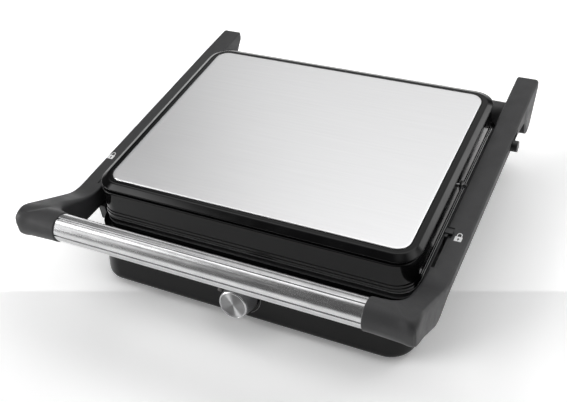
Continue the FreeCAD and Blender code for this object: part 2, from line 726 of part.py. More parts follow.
def float_bush(side):
    ring = side_rod("float_bush_ring", "float_bush", "float_end + 2", BUSH_OUT, "float_y", "float_z", side)
    bore = side_rod("float_bush_bore", "float_radius + running_gap", "float_end", "arm_inner",
                    "float_y", "float_z", side)
    return cut(f"float_bush_{side + 1}", ring, bore)


node("float_bushes", group("float_bush_set", *both_sides(float_bush)))
node("float_pins", group("float_pin_set", *both_sides(
    lambda side: side_rod("float_pin", "float_radius", "float_end + 3", "arm_outer - 1.5",
                          "float_y", "float_z", side))))

# ---------------------------------------------------------------- hinge towers on the base
barrel = rod("tower_barrel", "tower_radius", "x", "tower_inner", "tower_outer", y="hinge_y", z="hinge_z")
web = box("tower_web", ("tower_inner + 3", "tower_outer - 3"), ("base_back", "tower_back"),
          ("tower_foot", "hinge_z"))
room_for_base = box("tower_notch", ("tower_inner - 2", "tower_outer + 2"), ("base_back - 20", "base_back"),
                    (0, "base_high"))
tower_bore = rod("tower_bore", "pin_radius", "x", "tower_inner + 10", "tower_outer + 2",
                 y="hinge_y", z="hinge_z")
tower = cut("tower_right", fuse("tower_blank", barrel, web), room_for_base, tower_bore)
node("right_hinge_tower", tower)
node("left_hinge_tower", mirror("tower_left", tower))
node("hinge_pins", group("hinge_pin_set", *both_sides(
    lambda side: side_rod("hinge_pin", "pin_radius", "tower_inner + 10", "arm_outer - 3",
                          "hinge_y", "hinge_z", side))))

# ---------------------------------------------------------------- handle frame
RUN = 60
side_view = body("arm_side_view")
rise = f"{RUN} * tan(rise_slope)"
pad(side_view, "arm_side", outline(side_view, "arm_profile", "YZ_Plane", [
    ("tail_y", "arm_top"), ("rise_top_y", "arm_top"), (f"rise_top_y - {RUN}", f"arm_top + {rise}"),
    ("bar_y + 2", "bar_z"), (f"rise_low_y - {RUN} + 12", f"arm_low + {rise} - 12 * tan(rise_slope)"),
    ("rise_low_y", "arm_low"),
    ("hinge_y - lobe_radius", "arm_low"), ("hinge_y - lobe_radius", "hinge_z"), ("hinge_y", "hinge_z"),
    ("hinge_y + lobe_radius * 0.7071", "hinge_z - lobe_radius * 0.7071"), ("tail_y - 1", "tail_high")],
    "bar_half"), "arm_outer - bar_half")
lobe = rod("arm_lobe", "lobe_radius", "x", "bar_half", "arm_outer", y="hinge_y", z="hinge_z")
cuff = rod("arm_cuff", "cuff_radius", "x", "bar_half", "arm_outer", y="bar_y", z="bar_z")
profile_solid = fuse("arm_profile_solid", side_view, lobe, cuff)
PLAN_LOW, PLAN_HIGH = 20, 150
PLAN_MIDDLE = (PLAN_LOW + PLAN_HIGH) / 2
plan_view = body("arm_plan_view")
pad(plan_view, "arm_plan", outline(plan_view, "arm_plan_profile", "XY_Plane", [
    ("arm_inner", "tail_y + 5"), ("arm_outer", "tail_y + 5"), ("arm_outer", "bar_y - cuff_radius - 1"),
    ("bar_half", "bar_y - cuff_radius - 1"), ("bar_half", "bar_y + cuff_radius"),
    ("arm_inner", "bar_y + cuff_radius")], PLAN_LOW), PLAN_HIGH - PLAN_LOW)


def upright_at(x, y):
    """True for an upright edge of the plan view at x, y."""

    def wanted(edge):
        at = middle(edge)
        beside = math.hypot(at.x - number(x), at.y - number(y))
        return beside < 0.5 and abs(at.z - PLAN_MIDDLE) < 1

    return wanted


plan_outer = fillet("arm_plan_outer", plan_view, "cuff_corner",
                    upright_at("arm_outer", "bar_y - cuff_radius - 1"))
plan_round = fillet("arm_plan_round", plan_outer, "cuff_inner_corner",
                    upright_at("arm_inner", "bar_y + cuff_radius"))
arm_shape = doc.addObject("Part::Common", "arm_shape")
arm_shape.Base = profile_solid
arm_shape.Tool = plan_round


def long_edge(edge):
    """The straight long edges along the arm's top and its outer foot."""
    at = middle(edge)
    straight = isinstance(edge.Curve, Part.Line) and abs(edge.tangentAt(edge.FirstParameter).y) > 0.8
    on_side = min(abs(at.x - number(x)) for x in ("arm_outer", "arm_inner")) < 0.1
    on_level = min(abs(at.z - number(z)) for z in ("arm_top", "arm_low")) < 0.1
    return straight and on_side and on_level and edge.Length > 60


arm_round = fillet("arm_softened", arm_shape, "arm_round", long_edge)
slider_slot = box("slider_slot", ("slot_in", "slot_out"), ("slot_front", "slot_back"),
                  ("arm_low - 2", "arm_top + 2"))
slider_recess = box("slider_recess", ("arm_inner - 1", "recess_out"), ("slot_front - 1", "slot_back + 3"),
                    ("arm_top - recess_deep", "arm_top + 2"))
channel = box("arm_channel", ("channel_in", "channel_out"), ("channel_front", "channel_back"),
              ("arm_low - 1", "channel_high"))
lobe_bore = rod("lobe_bore", "bush_radius", "x", "arm_inner - 1", "arm_outer + 1", y="hinge_y", z="hinge_z")
cap_seat = rod("cap_seat", 9, "x", "arm_outer - 1.6", "arm_outer + 1", y="hinge_y", z="hinge_z")
pin_bore = rod("float_pin_bore", "float_radius", "x", "arm_inner - 1", "arm_outer - 1.5",
               y="float_y", z="float_z")
bar_seat = rod("bar_seat", "bar_radius", "x", "bar_half - 1", "bar_half + bar_seat", y="bar_y", z="bar_z")
rod_bore = rod("rod_bore", "rod_radius", "x", "bar_half", "rod_half", y="bar_y", z="bar_z")
arm_hollow = cut("arm_hollow", arm_round, slider_slot, slider_recess, channel, lobe_bore, cap_seat,
                 bar_seat, rod_bore)
web_at_pin = rod("float_web", 6, "x", "channel_in - 1", "channel_out + 1", y="float_y", z="float_z")
arm_webs = fuse("arm_webs", arm_hollow, web_at_pin)
arm_left_blank = cut("arm_blank", arm_webs, pin_bore)
peg_slot = box("peg_slot", ("channel_out - 1", "arm_outer + 1"),
               ("peg_y - peg_radius - slider_gap", "peg_y + peg_travel + peg_radius + slider_gap"),
               ("peg_z - peg_radius - slider_gap", "peg_z + peg_radius + slider_gap"))
node("right_arm", cut("arm_right", arm_left_blank, peg_slot))
node("left_arm", mirror("arm_left", arm_left_blank))

COVER_SCREWS = ("channel_front + 14", "channel_back - 14")
CHANNEL_MIDDLE = "(channel_in + channel_out) / 2"
strip = box("strip_blank", ("channel_in", "channel_out"), ("channel_front", "channel_back"),
            ("arm_low", "arm_low + cover_strip"))
strip_holes = [rod(f"strip_hole_{i}", 1.5, "z", "arm_low - 1", "arm_low + 5", x=CHANNEL_MIDDLE, y=y)
               for i, y in enumerate(COVER_SCREWS)]
strip_right = cut("strip_right", strip, *strip_holes)
node("right_arm_cover", strip_right)
node("left_arm_cover", mirror("strip_left", strip_right))
strip_screws = [screw(f"strip_screw_{i}", CHANNEL_MIDDLE, y, "arm_low", 1.5, "strip_screw", 2.4, 0.8)
                for i, y in enumerate(COVER_SCREWS)]
right_screws = group("strip_screws_right", *strip_screws)
node("arm_cover_screws", group("strip_screw_set", right_screws, mirror("strip_screws_left", right_screws)))


def hinge_bush(side):
    ring = side_rod("hinge_bush_ring", "bush_radius", "arm_inner", "arm_outer - 1.6",
                    "hinge_y", "hinge_z", side)
    bore = side_rod("hinge_bush_bore", "pin_radius + running_gap", "arm_inner - 1", "arm_outer",
                    "hinge_y", "hinge_z", side)
    return cut(f"hinge_bush_{side + 1}", ring, bore)


node("hinge_bushes", group("hinge_bush_set", *both_sides(hinge_bush)))
node("hinge_caps", group("hinge_cap_set", *both_sides(
    lambda side: side_rod("hinge_cap", 8.9, "arm_outer - 1.6", "arm_outer", "hinge_y", "hinge_z", side))))

bar_out = rod("bar_outside", "bar_radius", "x", "-bar_half - bar_seat", "bar_half + bar_seat",
              y="bar_y", z="bar_z")
bar_in = rod("bar_inside", "bar_radius - bar_wall", "x", "-bar_half - bar_seat - 1",
             "bar_half + bar_seat + 1", y="bar_y", z="bar_z")
groove_top = box("groove_top", ("-bar_half", "bar_half"),
                 ("bar_y - bar_groove / 2 - groove_shift", "bar_y + bar_groove / 2 - groove_shift"),
                 ("bar_z + bar_radius - groove_deep", "bar_z + bar_radius + 1"))
groove_front = box("groove_front", ("-bar_half", "bar_half"),
                   ("bar_y - bar_radius - 1", "bar_y - bar_radius + groove_deep"),
                   ("bar_z - bar_groove / 2 + groove_shift", "bar_z + bar_groove / 2 + groove_shift"))
node("handle_bar", cut("bar_tube", bar_out, bar_in, groove_top, groove_front))
node("handle_tie_rod", rod("tie_rod", "rod_radius", "x", "-rod_half", "rod_half", y="bar_y", z="bar_z"))

# ---------------------------------------------------------------- lock sliders and their catches
leg_in, leg_out = "slot_in + slider_gap", "slot_out - slider_gap"
leg = box("slider_leg", (leg_in, leg_out), ("slider_back - slider_long", "slider_back"),
          ("tongue_low", "arm_top + 0.6"))
thumb = box("slider_thumb", ("arm_inner + 0.6", "recess_out + 0.6"), ("slider_back - 6", "slider_back - 1"),
            ("arm_top + 0.3", "thumb_high"))
thumb_rail = box("slider_rail", (leg_in, leg_out), ("slider_back - slider_long", "slider_back"),
                 ("arm_top + 0.3", "thumb_high - 1"))
tongue = box("slider_tongue", (leg_in, leg_out), ("slider_back - tongue_long", "slider_back"),
             ("tongue_low", "tongue_high"))
slider = fuse("slider_right", leg, thumb, thumb_rail, tongue)
node("right_lock_slider", slider)
node("left_lock_slider", mirror("slider_left", slider))
stem = box("catch_post", ("base_width / 2", "catch_out"), ("catch_front", "catch_front + catch_stem"),
           ("catch_low", "catch_high"))
roof = box("catch_cap", ("base_width / 2", "catch_out"), ("catch_front", "catch_front + catch_long"),
           ("catch_high - catch_roof", "catch_high"))
catch = fuse("catch_right", stem, roof)
node("right_lock_catch", catch)
node("left_lock_catch", mirror("catch_left", catch))

# ---------------------------------------------------------------- release peg
node("release_peg", rod("peg", "peg_radius", "x", "latch_out", "peg_end", y="peg_y", z="peg_z"))
node("release_latch_bar", box("latch_bar", ("latch_in", "latch_out"), ("latch_front", "latch_back"),
                              ("peg_z - 4", "peg_z + 4")))

# ---------------------------------------------------------------- knob, thermostat and lamp
knob = body("knob_turned")
ring = sketch(knob, "knob_circle", "XY_Plane", "knob_gap")
ring.addGeometry(Part.Circle(Vector(0, 0, 0), Vector(0, 0, 1), number("knob_radius")))
ring.addConstraint(Sketcher.Constraint("Coincident", 0, 3, -1, 1))
at = ring.addConstraint(Sketcher.Constraint("Radius", 0, number("knob_radius")))
ring.setExpression(f"Constraints[{at}]", expression("knob_radius"))
pad(knob, "knob_cylinder", ring, "knob_high - knob_gap")
notch = sketch(knob, "knob_notch", "XY_Plane", "knob_high + 1")
notch.addGeometry(Part.Circle(Vector(number("flute_from_axis"), 0, 0), Vector(0, 0, 1), number("flute_radius")))
notch.addConstraint(Sketcher.Constraint("PointOnObject", 0, 3, -1))
for kind, where, formula in (("Radius", (0,), "flute_radius"), ("DistanceX", (-1, 1, 0, 3), "flute_from_axis")):
    at = notch.addConstraint(Sketcher.Constraint(kind, *where, number(formula)))
    notch.setExpression(f"Constraints[{at}]", expression(formula))
flute = pocket(knob, "knob_flute", notch, "knob_high - 2")
doc.recompute()
flutes = knob.newObject("PartDesign::PolarPattern", "knob_flutes")
flutes.Originals = [flute]
flutes.Axis = (ring, ["N_Axis"])
flutes.Angle = 360
bind(flutes, Occurrences="knob_grooves")
knob.Tip = flutes
knob_placed = on_panel(knob)
knob_bore = panel_rod("knob_bore", "shaft_radius", 0, "shaft_front")
node("knob_skirt", cut("knob_bored", knob_placed, knob_bore))
face_disc = doc.addObject("Part::Cone", "face_disc")
bind(face_disc, Radius1="face_radius", Radius2="face_radius - 0.9", Height="face_high")
node("knob_face", on_panel(face_disc, out="knob_high"))
node("knob_shaft", panel_rod("shaft", "shaft_radius", "shaft_back", "shaft_front"))

SWITCH_FRONT = "switch_back + switch_deep"
switch = panel_box("switch_block", "switch_width", "switch_tall", "switch_back", SWITCH_FRONT)
switch_bore = panel_rod("switch_bore", "shaft_radius + running_gap", "switch_back - 1", 0)
node("thermostat_body", cut("switch_bored", switch, switch_bore))
bracket = panel_box("bracket_plate", "switch_width + 2 * bracket_ear", "switch_tall - 2",
                    SWITCH_FRONT, f"{SWITCH_FRONT} + bracket_thick")
bracket_bore = panel_rod("bracket_bore", "shaft_radius + 1", "switch_back", 0)
node("thermostat_bracket", cut("bracket_bored", bracket, bracket_bore))
node("indicator_lens", panel_rod("lens", "lamp_radius", -3.2, 0.8, "lamp_x", "lamp_up"))
node("indicator_lamp", panel_rod("lamp", "lamp_radius - 0.5", -14, -3.4, "lamp_x", "lamp_up"))

# ---------------------------------------------------------------- wiring
gland = fuse("inlet_blank",
             rod("inlet_barrel", "inlet_radius", "y", "base_back - shell_wall - 3", "base_back",
                 x="inlet_x", z="inlet_z"),
             rod("inlet_flange", "inlet_radius + 2.4", "y", "base_back", "base_back + 2.6",
                 x="inlet_x", z="inlet_z"))
inlet_core = rod("inlet_core", "inlet_bore", "y", "base_back - 9", "base_back + 4", x="inlet_x", z="inlet_z")
node("cord_inlet_gland", cut("inlet_bored", gland, inlet_core))
BLOCK_LOW = "base_low + cover_thick + 1"
block = box("terminal_blank", ("inlet_x - 22", "inlet_x + 22"), ("base_back - 34", "base_back - 18"),
            (BLOCK_LOW, f"{BLOCK_LOW} + 12"))
ways = [rod(f"terminal_way_{i}", 2, "y", "base_back - 36", "base_back - 16",
            x=f"inlet_x + {i * 13 - 13}", z=f"{BLOCK_LOW} + 6") for i in range(3)]
node("terminal_block", cut("terminal_drilled", block, *ways))
node("lower_thermal_fuse", rod("fuse_low", 3, "x", -14, 14, y="cook_mid", z=f"{PAN_BOTTOM} - 3.3"))
node("upper_thermal_fuse", rod("fuse_high", 3, "x", -14, 14, y="cook_mid", z=f"{PAN_BACK} + 3.3"))

# ---------------------------------------------------------------- check and write
doc.recompute()
failed = [thing.Name for thing in doc.Objects if {"Invalid", "Error"} & set(thing.State)]
if failed:
    raise SystemExit(f"failed objects: {failed}")
os.makedirs("parts", exist_ok=True)
for thing in NODES:
    shape = thing.Shape
    if shape.isNull() or not shape.isValid() or not shape.Solids:
        raise SystemExit(f"bad shape: {thing.Label}")
    shape.exportStep(f"parts/{thing.Label}.step")
    room = shape.BoundBox
    print(f"{thing.Label}: {len(shape.Solids)} solids, {shape.Volume / 1000:.1f} cm3, "
          f"x {room.XMin:.1f} {room.XMax:.1f}, y {room.YMin:.1f} {room.YMax:.1f}, "
          f"z {room.ZMin:.1f} {room.ZMax:.1f}")
print(len(NODES), "nodes")
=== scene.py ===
# %% [markdown]
# # A contact grill, piece by piece
#
# A contact grill presses a sandwich between two hot ribbed plates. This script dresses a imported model
# of one. The model already has every part at its real size and place, so nothing is moved here: we give
# each part a finish, and remake the parts that show most with softer edges and finer detail. Each cell
# takes one piece or one finish, says what it is on the real appliance, and builds it from numbers.
#
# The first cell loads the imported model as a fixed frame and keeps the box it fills, because the dressed
# model may not grow out of that box.

# %% Load the frame
import json
import math

import bmesh
import bpy
import numpy as np
from mathutils import Euler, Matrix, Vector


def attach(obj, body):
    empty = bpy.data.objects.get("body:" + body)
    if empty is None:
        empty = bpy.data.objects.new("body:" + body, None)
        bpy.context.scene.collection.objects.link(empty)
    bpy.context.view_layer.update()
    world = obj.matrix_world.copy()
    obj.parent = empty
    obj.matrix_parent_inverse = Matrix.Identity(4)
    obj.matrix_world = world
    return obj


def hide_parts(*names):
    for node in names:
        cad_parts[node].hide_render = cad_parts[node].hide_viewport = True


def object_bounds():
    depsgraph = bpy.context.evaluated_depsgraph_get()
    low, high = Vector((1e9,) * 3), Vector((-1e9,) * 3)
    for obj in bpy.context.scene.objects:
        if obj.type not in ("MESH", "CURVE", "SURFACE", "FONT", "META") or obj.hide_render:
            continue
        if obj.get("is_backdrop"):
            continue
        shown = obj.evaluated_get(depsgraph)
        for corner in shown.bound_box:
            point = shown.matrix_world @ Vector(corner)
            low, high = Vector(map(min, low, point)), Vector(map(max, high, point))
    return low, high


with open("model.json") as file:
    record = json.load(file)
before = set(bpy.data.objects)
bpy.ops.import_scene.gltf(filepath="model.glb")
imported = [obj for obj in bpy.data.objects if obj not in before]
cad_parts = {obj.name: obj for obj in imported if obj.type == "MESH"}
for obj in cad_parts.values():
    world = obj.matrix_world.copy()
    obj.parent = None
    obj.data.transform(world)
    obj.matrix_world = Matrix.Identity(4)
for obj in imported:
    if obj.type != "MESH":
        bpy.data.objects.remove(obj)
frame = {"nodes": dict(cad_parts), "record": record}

model_low, model_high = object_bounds()
print("frame:", len(frame["nodes"]), "parts,", [round(v, 4) for v in model_high - model_low], "m")

# %% [markdown]
# ## The camera
#
# The appliance is seen from the front right, a little over 40 degrees above the table. A camera needs a
# place, three turning angles and a lens; these come from the corners of the steel plate, whose real
# size is known.

# %% Camera
camera_data = bpy.data.cameras.new("camera")
camera_data.lens = 55.062
camera_data.sensor_width = 36
camera = bpy.data.objects.new("camera", camera_data)
camera.location = (0.32344, -0.58245, 0.62154)
camera.rotation_euler = Euler([math.radians(a) for a in (48.261, 6.071, 25.422)])
bpy.context.scene.collection.objects.link(camera)
bpy.context.scene.camera = camera
bpy.context.scene.view_settings.view_transform = "Standard"
print("camera at", tuple(round(v, 3) for v in camera.location))

# %% [markdown]
# ## Surfaces from numbers
#
# Most mouldings here are rings of one kind: a rectangle with round corners, stacked in many sizes.
# A level is five numbers: width, depth, corner radius, middle along y, and height. A profile is a list
# of levels, and easing it rounds its corners the way a mould maker breaks every edge.

# %% Rings, stacks and nets
MM = 0.001
CORNER_STEPS = 10
TURN = np.radians(np.concatenate([np.linspace(q * 90, q * 90 + 90, CORNER_STEPS + 1) for q in range(4)]))
SIDE_X = np.repeat([1, -1, -1, 1], CORNER_STEPS + 1)
SIDE_Y = np.repeat([1, 1, -1, -1], CORNER_STEPS + 1)
AROUND = len(TURN)


def rings(levels):
    """Points of each level: corner centre plus radius times (cos, sin) of the turn, anticlockwise."""
    width, depth, corner, middle, height = np.asarray(levels, float).T[:, :, None]
    x = SIDE_X * (width / 2 - corner) + corner * np.cos(TURN)
    y = middle + SIDE_Y * (depth / 2 - corner) + corner * np.sin(TURN)
    return np.stack([x, y, np.broadcast_to(height, x.shape)], -1)


def net(rows, around, joined_rows=False):
    """Quads between neighbours of a grid of rows times around points, numbered row by row.

    Point k of row r has the number r x around + k; a row closes on itself, and the rows can too.
    """
    row, column = np.meshgrid(np.arange(rows if joined_rows else rows - 1), np.arange(around), indexing="ij")
    next_row, next_column = (row + 1) % rows, (column + 1) % around
    return np.stack([row * around + column, row * around + next_column,
                     next_row * around + next_column, next_row * around + column], -1).reshape(-1, 4)


def capped(rows, around):
    """A net whose first and last rows are each closed by one flat face."""
    last = (rows - 1) * around
    return net(rows, around).tolist() + [list(range(around))[::-1], list(range(last, last + around))]


def ease(levels, cuts, steps=4, closed=False):
    """Rounds each level P into the curve (1-s)^2 A + 2s(1-s) P + s^2 C.

    A and C lie on the lines to the levels before and after, `cut` millimetres away from P.
    """
    levels = np.asarray(levels, float)
    eased = []
    for i, cut in enumerate(cuts):
        inner = closed or 0 < i < len(levels) - 1
        if not cut or not inner:
            eased.append(levels[i][None])
            continue
        here, before, after = levels[i], levels[i - 1], levels[(i + 1) % len(levels)]
        sizes = []
        for end in (before, after):
            way = (end - here) / [2, 2, 1, 1, 1]
            sizes.append(max(np.hypot(way[0], way[4]), np.hypot(way[1], way[4]), 1e-9))
        a = here + (before - here) * min(cut / sizes[0], 0.5)
        c = here + (after - here) * min(cut / sizes[1], 0.5)
        s = np.linspace(0, 1, steps + 1)[:, None]
        eased.append((1 - s) ** 2 * a + 2 * s * (1 - s) * here + s ** 2 * c)
    return np.concatenate(eased)


def stack(levels, closed=False):
    """A stack of rings as points and faces: closed into a ring, or flat at both ends."""
    rows = len(levels)
    faces = net(rows, AROUND, joined_rows=True).tolist() if closed else capped(rows, AROUND)
    return rings(levels).reshape(-1, 3), faces


def join(*shapes):
    """Several (points, faces) as one, with the face numbers moved on."""
    start, points, faces = 0, [], []
    for some_points, some_faces in shapes:
        points.append(np.asarray(some_points, float).reshape(-1, 3))
        faces += [[index + start for index in face] for face in some_faces]
        start += len(points[-1])
    return np.concatenate(points), faces


print("rings of", AROUND, "points")

# %% [markdown]
# A finished piece is a mesh whose place is in its own points, so it needs no moving or turning
# afterwards. Coinciding points are merged, the faces are turned outwards, and edges sharper than about
# 30 degrees stay crisp in the shading. A body is a group of parts that move together, and each piece
# rides on one. A few finishes have no material slot of their own on the model.

# %% From points to a piece
def mesh_of(name, points, faces, crease=30):
    """A tidy mesh from millimetre points."""
    mesh = bpy.data.meshes.new(name)
    mesh.from_pydata((np.asarray(points, float).reshape(-1, 3) * MM).tolist(), [], faces)
    work = bmesh.new()
    work.from_mesh(mesh)
    bmesh.ops.remove_doubles(work, verts=work.verts, dist=2e-6)
    bmesh.ops.recalc_face_normals(work, faces=work.faces)
    work.to_mesh(mesh)
    work.free()
    shade(mesh, crease)
    return mesh


def shade(mesh, crease=30):
    """Smooth shading, but crisp where two faces meet at more than the crease angle, in degrees."""
    mesh.shade_smooth()
    mesh.set_sharp_from_angle(angle=math.radians(crease))


def piece(name, shape, body, finish, stands_for=(), crease=30):
    """Makes a piece, gives it its finish, and lets it ride on its body in place of the plain parts."""
    made = bpy.data.objects.new(name, mesh_of(name, *shape, crease))
    bpy.context.scene.collection.objects.link(made)
    made.data.materials.append(FINISHES[finish])
    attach(made, body)
    if stands_for:
        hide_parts(*stands_for)
    size = np.ptp(np.array([v.co for v in made.data.vertices]), 0) / MM
    print(f"{name}: {len(made.data.polygons)} faces, {size.round(1)} mm")
    return made


def carve(made, *shapes, crease=30):
    """Takes shapes away from a piece, exactly as a cutter would."""
    cutters = []
    for i, shape in enumerate(shapes):
        cutter = bpy.data.objects.new(f"cutter_{i}", mesh_of("cutter", *shape))
        bpy.context.scene.collection.objects.link(cutter)
        modifier = made.modifiers.new(f"cut_{i}", "BOOLEAN")
        modifier.operation = "DIFFERENCE"
        modifier.solver = "EXACT"
        modifier.object = cutter
        cutters.append(cutter)
    bpy.context.view_layer.update()
    cut_mesh = bpy.data.meshes.new_from_object(made.evaluated_get(bpy.context.evaluated_depsgraph_get()))
    made.modifiers.clear()
    old, made.data = made.data, cut_mesh
    cut_mesh.name = made.name
    bpy.data.meshes.remove(old)
    for cutter in cutters:
        bpy.data.objects.remove(cutter)
    shade(cut_mesh, crease)
    print(f"{made.name}: carved, {len(cut_mesh.polygons)} faces")
    return made


def tube(radius, start, end, y, z, steps=48):
    """A plain round bar along x, for cutting."""
    turn = np.linspace(0, 2 * np.pi, steps, endpoint=False)
    ring = np.stack([np.zeros(steps), y + radius * np.cos(turn), z + radius * np.sin(turn)], -1)
    return np.concatenate([ring + [start, 0, 0], ring + [end, 0, 0]]), capped(2, steps)


def lathe(profile, steps, place):
    """Turns (radius, height) pairs about an axis; place maps (x, up, out) to the appliance."""
    radius, out = np.asarray(profile, float).T[:, :, None]
    turn = np.linspace(0, 2 * np.pi, steps, endpoint=False)[None]
    points = place(radius * np.cos(turn), radius * np.sin(turn), out + 0 * turn)
    return points.reshape(-1, 3), capped(len(profile), steps)


print("piece and carve are ready")

# %% [markdown]
# ## Finishes
#
# Every finish is a small network of nodes that reads Object coordinates, so its grain is in millimetres
# on the real thing. Three helpers are enough: noise with its own stretch, a range that turns noise into
# a roughness or a colour, and a bump.

# %% Node helpers
FINISHES = {}


class Finish:
    """One material and short names for the nodes it needs."""

    def __init__(self, slot, color, roughness, metallic=0.0):
        self.material = bpy.data.materials.new(slot)
        self.material.use_nodes = True
        self.nodes = self.material.node_tree.nodes
        self.links = self.material.node_tree.links
        self.shader = self.nodes["Principled BSDF"]
        self.set("Base Color", (*color, 1))
        self.set("Roughness", roughness)
        self.set("Metallic", metallic)
        self.where = self.nodes.new("ShaderNodeTexCoord").outputs["Object"]
        FINISHES[slot] = self.material

    def set(self, socket, value):
        """Puts one number or colour, the same all over, on the shader's own socket."""
        self.shader.inputs[socket].default_value = value

    def noise(self, grain, stretch=(1, 1, 1), detail=3):
        """Noise whose features are about `grain` millimetres, longer where stretch is over 1."""
        mapping = self.nodes.new("ShaderNodeMapping")
        mapping.inputs["Scale"].default_value = [1 / s for s in stretch]
        texture = self.nodes.new("ShaderNodeTexNoise")
        texture.inputs["Scale"].default_value = 1 / (grain * MM)
        texture.inputs["Detail"].default_value = detail
        self.links.new(self.where, mapping.inputs["Vector"])
        self.links.new(mapping.outputs["Vector"], texture.inputs["Vector"])
        return texture.outputs["Fac"]

    def span(self, value, low, high, start=0.3, end=0.7):
        """Maps start..end of a value to low..high."""
        node = self.nodes.new("ShaderNodeMapRange")
        for socket, number in (("From Min", start), ("From Max", end), ("To Min", low), ("To Max", high)):
            node.inputs[socket].default_value = number
        self.links.new(value, node.inputs["Value"])
        return node.outputs["Result"]

    def mix(self, factor, first, second):
        """A colour between two, by a factor."""
        node = self.nodes.new("ShaderNodeMix")
        node.data_type = "RGBA"
        node.inputs["A"].default_value = (*first, 1)
        node.inputs["B"].default_value = (*second, 1)
        self.links.new(factor, node.inputs["Factor"])
        return node.outputs["Result"]

    def plug(self, value, socket):
        """Leads a value that changes over the surface into a socket of the shader."""
        self.links.new(value, self.shader.inputs[socket])

    def bump(self, height, depth, strength=1.0):
        """Bumps of `depth` millimetres."""
        node = self.nodes.new("ShaderNodeBump")
        node.inputs["Strength"].default_value = strength
        node.inputs["Distance"].default_value = depth * MM
        self.links.new(height, node.inputs["Height"])
        self.plug(node.outputs["Normal"], "Normal")


print("finish helpers are ready")

# %% [markdown]
# The housing is injection-moulded black plastic with a high gloss. Real gloss mouldings are never a
# perfect mirror: there is a faint waviness a few millimetres long and some handling haze. Both are far
# weaker than the eye expects, but they keep reflections from looking drawn with a ruler.

# %% Gloss black
gloss = Finish("gloss_black", (0.006, 0.006, 0.0065), 0.1)
gloss.set("Specular IOR Level", 0.22)
haze = gloss.noise(18, detail=4)
gloss.plug(gloss.span(haze, 0.09, 0.17), "Roughness")
gloss.plug(gloss.mix(haze, (0.002, 0.002, 0.0022), (0.004, 0.004, 0.0043)), "Base Color")
gloss.bump(gloss.noise(9, detail=1), 0.012)
print("gloss_black: roughness 0.09 to 0.17, waves 9 mm long")

# %% [markdown]
# The arms and the towers are moulded in a spark-eroded texture: a very fine, even roughness that
# scatters light and turns black plastic into a dark grey. It could be real geometry, but half a
# millimetre of grain over an arm would cost millions of faces, so a bump and a little colour noise
# carry it. The small black parts are plain matte plastic, finer still.

# %% Textured and plain dark plastic
soft = Finish("soft_black", (0.035, 0.035, 0.037), 0.5)
pits = soft.noise(0.45, detail=4)
soft.plug(soft.mix(soft.span(pits, 0, 1), (0.018, 0.018, 0.019), (0.03, 0.03, 0.0315)), "Base Color")
soft.plug(soft.span(soft.noise(14), 0.46, 0.58), "Roughness")
soft.bump(pits, 0.05, 0.6)

plain = Finish("matte_black", (0.014, 0.014, 0.015), 0.42)
plain.plug(plain.mix(plain.noise(6), (0.011, 0.011, 0.012), (0.018, 0.018, 0.019)), "Base Color")
plain.plug(plain.span(plain.noise(3), 0.36, 0.5), "Roughness")
plain.bump(plain.noise(0.7), 0.02, 0.4)
print("soft_black: grain 0.45 mm; matte_black: grain 0.7 mm")

# %% [markdown]
# Brushed steel has long straight scratches. They are noise stretched sixty times along the brushing
# direction, used twice: faintly in the colour and more in the roughness, so a reflection breaks into
# fine streaks.

# %% Brushed steel
steel = Finish("brushed_steel", (0.78, 0.78, 0.785), 0.3, 1.0)
scratches = steel.noise(0.5, (60, 1, 1), 4)
streaks = steel.noise(2.4, (30, 1, 1), 2)
steel.plug(steel.mix(steel.span(streaks, 0, 1), (0.77, 0.77, 0.775), (0.795, 0.795, 0.8)), "Base Color")
steel.plug(steel.span(scratches, 0.28, 0.34), "Roughness")
steel.bump(scratches, 0.002, 0.5)
print("brushed_steel: scratches 0.5 mm wide and 30 mm long")

# %% [markdown]
# The bar has the same grain along its length, in a duller grade of steel. Hands have worn it a little
# unevenly, which is the second, larger noise.

# %% Bar steel
bar_steel = Finish("bar_steel", (0.58, 0.58, 0.585), 0.28, 1.0)
bar_scratches = bar_steel.noise(0.35, (70, 1, 1), 4)
bar_mottle = bar_steel.noise(4, (4, 1, 1), 3)
bar_wear = bar_steel.mix(bar_steel.span(bar_mottle, 0, 1), (0.52, 0.52, 0.525), (0.64, 0.64, 0.645))
bar_steel.plug(bar_wear, "Base Color")
bar_steel.plug(bar_steel.span(bar_scratches, 0.17, 0.26), "Roughness")
bar_steel.bump(bar_scratches, 0.004, 0.8)
print("bar_steel: scratches 0.35 mm wide and 25 mm long")

# %% [markdown]
# The knob is turned aluminium: a bright rim, and a knurled side of the same metal given a darker colour,
# which is painted shade for the dark room it mirrors. Its face is spun: the tool leaves circles finer than
# the eye can see, and they spread every reflection into two bright fans. A shader does that with anisotropy,
# which needs a direction that runs round the axis; the face carries it in its own UV map. The rotation of a
# quarter turns the long way of the highlight across the circles.

# %% Knob metal and spun face
for slot, color, mean_rough, rough in (
    ("knob_metal", (0.5, 0.5, 0.505), 0.24, (0.2, 0.3)),
    # the knurled side is the knob's own aluminium with a darker colour: painted shade
    ("knurled_side_painted_shade", (0.2, 0.2, 0.205), 0.34, (0.3, 0.4)),
):
    turned = Finish(slot, color, mean_rough, 1.0)
    turned.plug(turned.span(turned.noise(0.6), *rough), "Roughness")
    turned.bump(turned.noise(0.3), 0.006, 0.5)

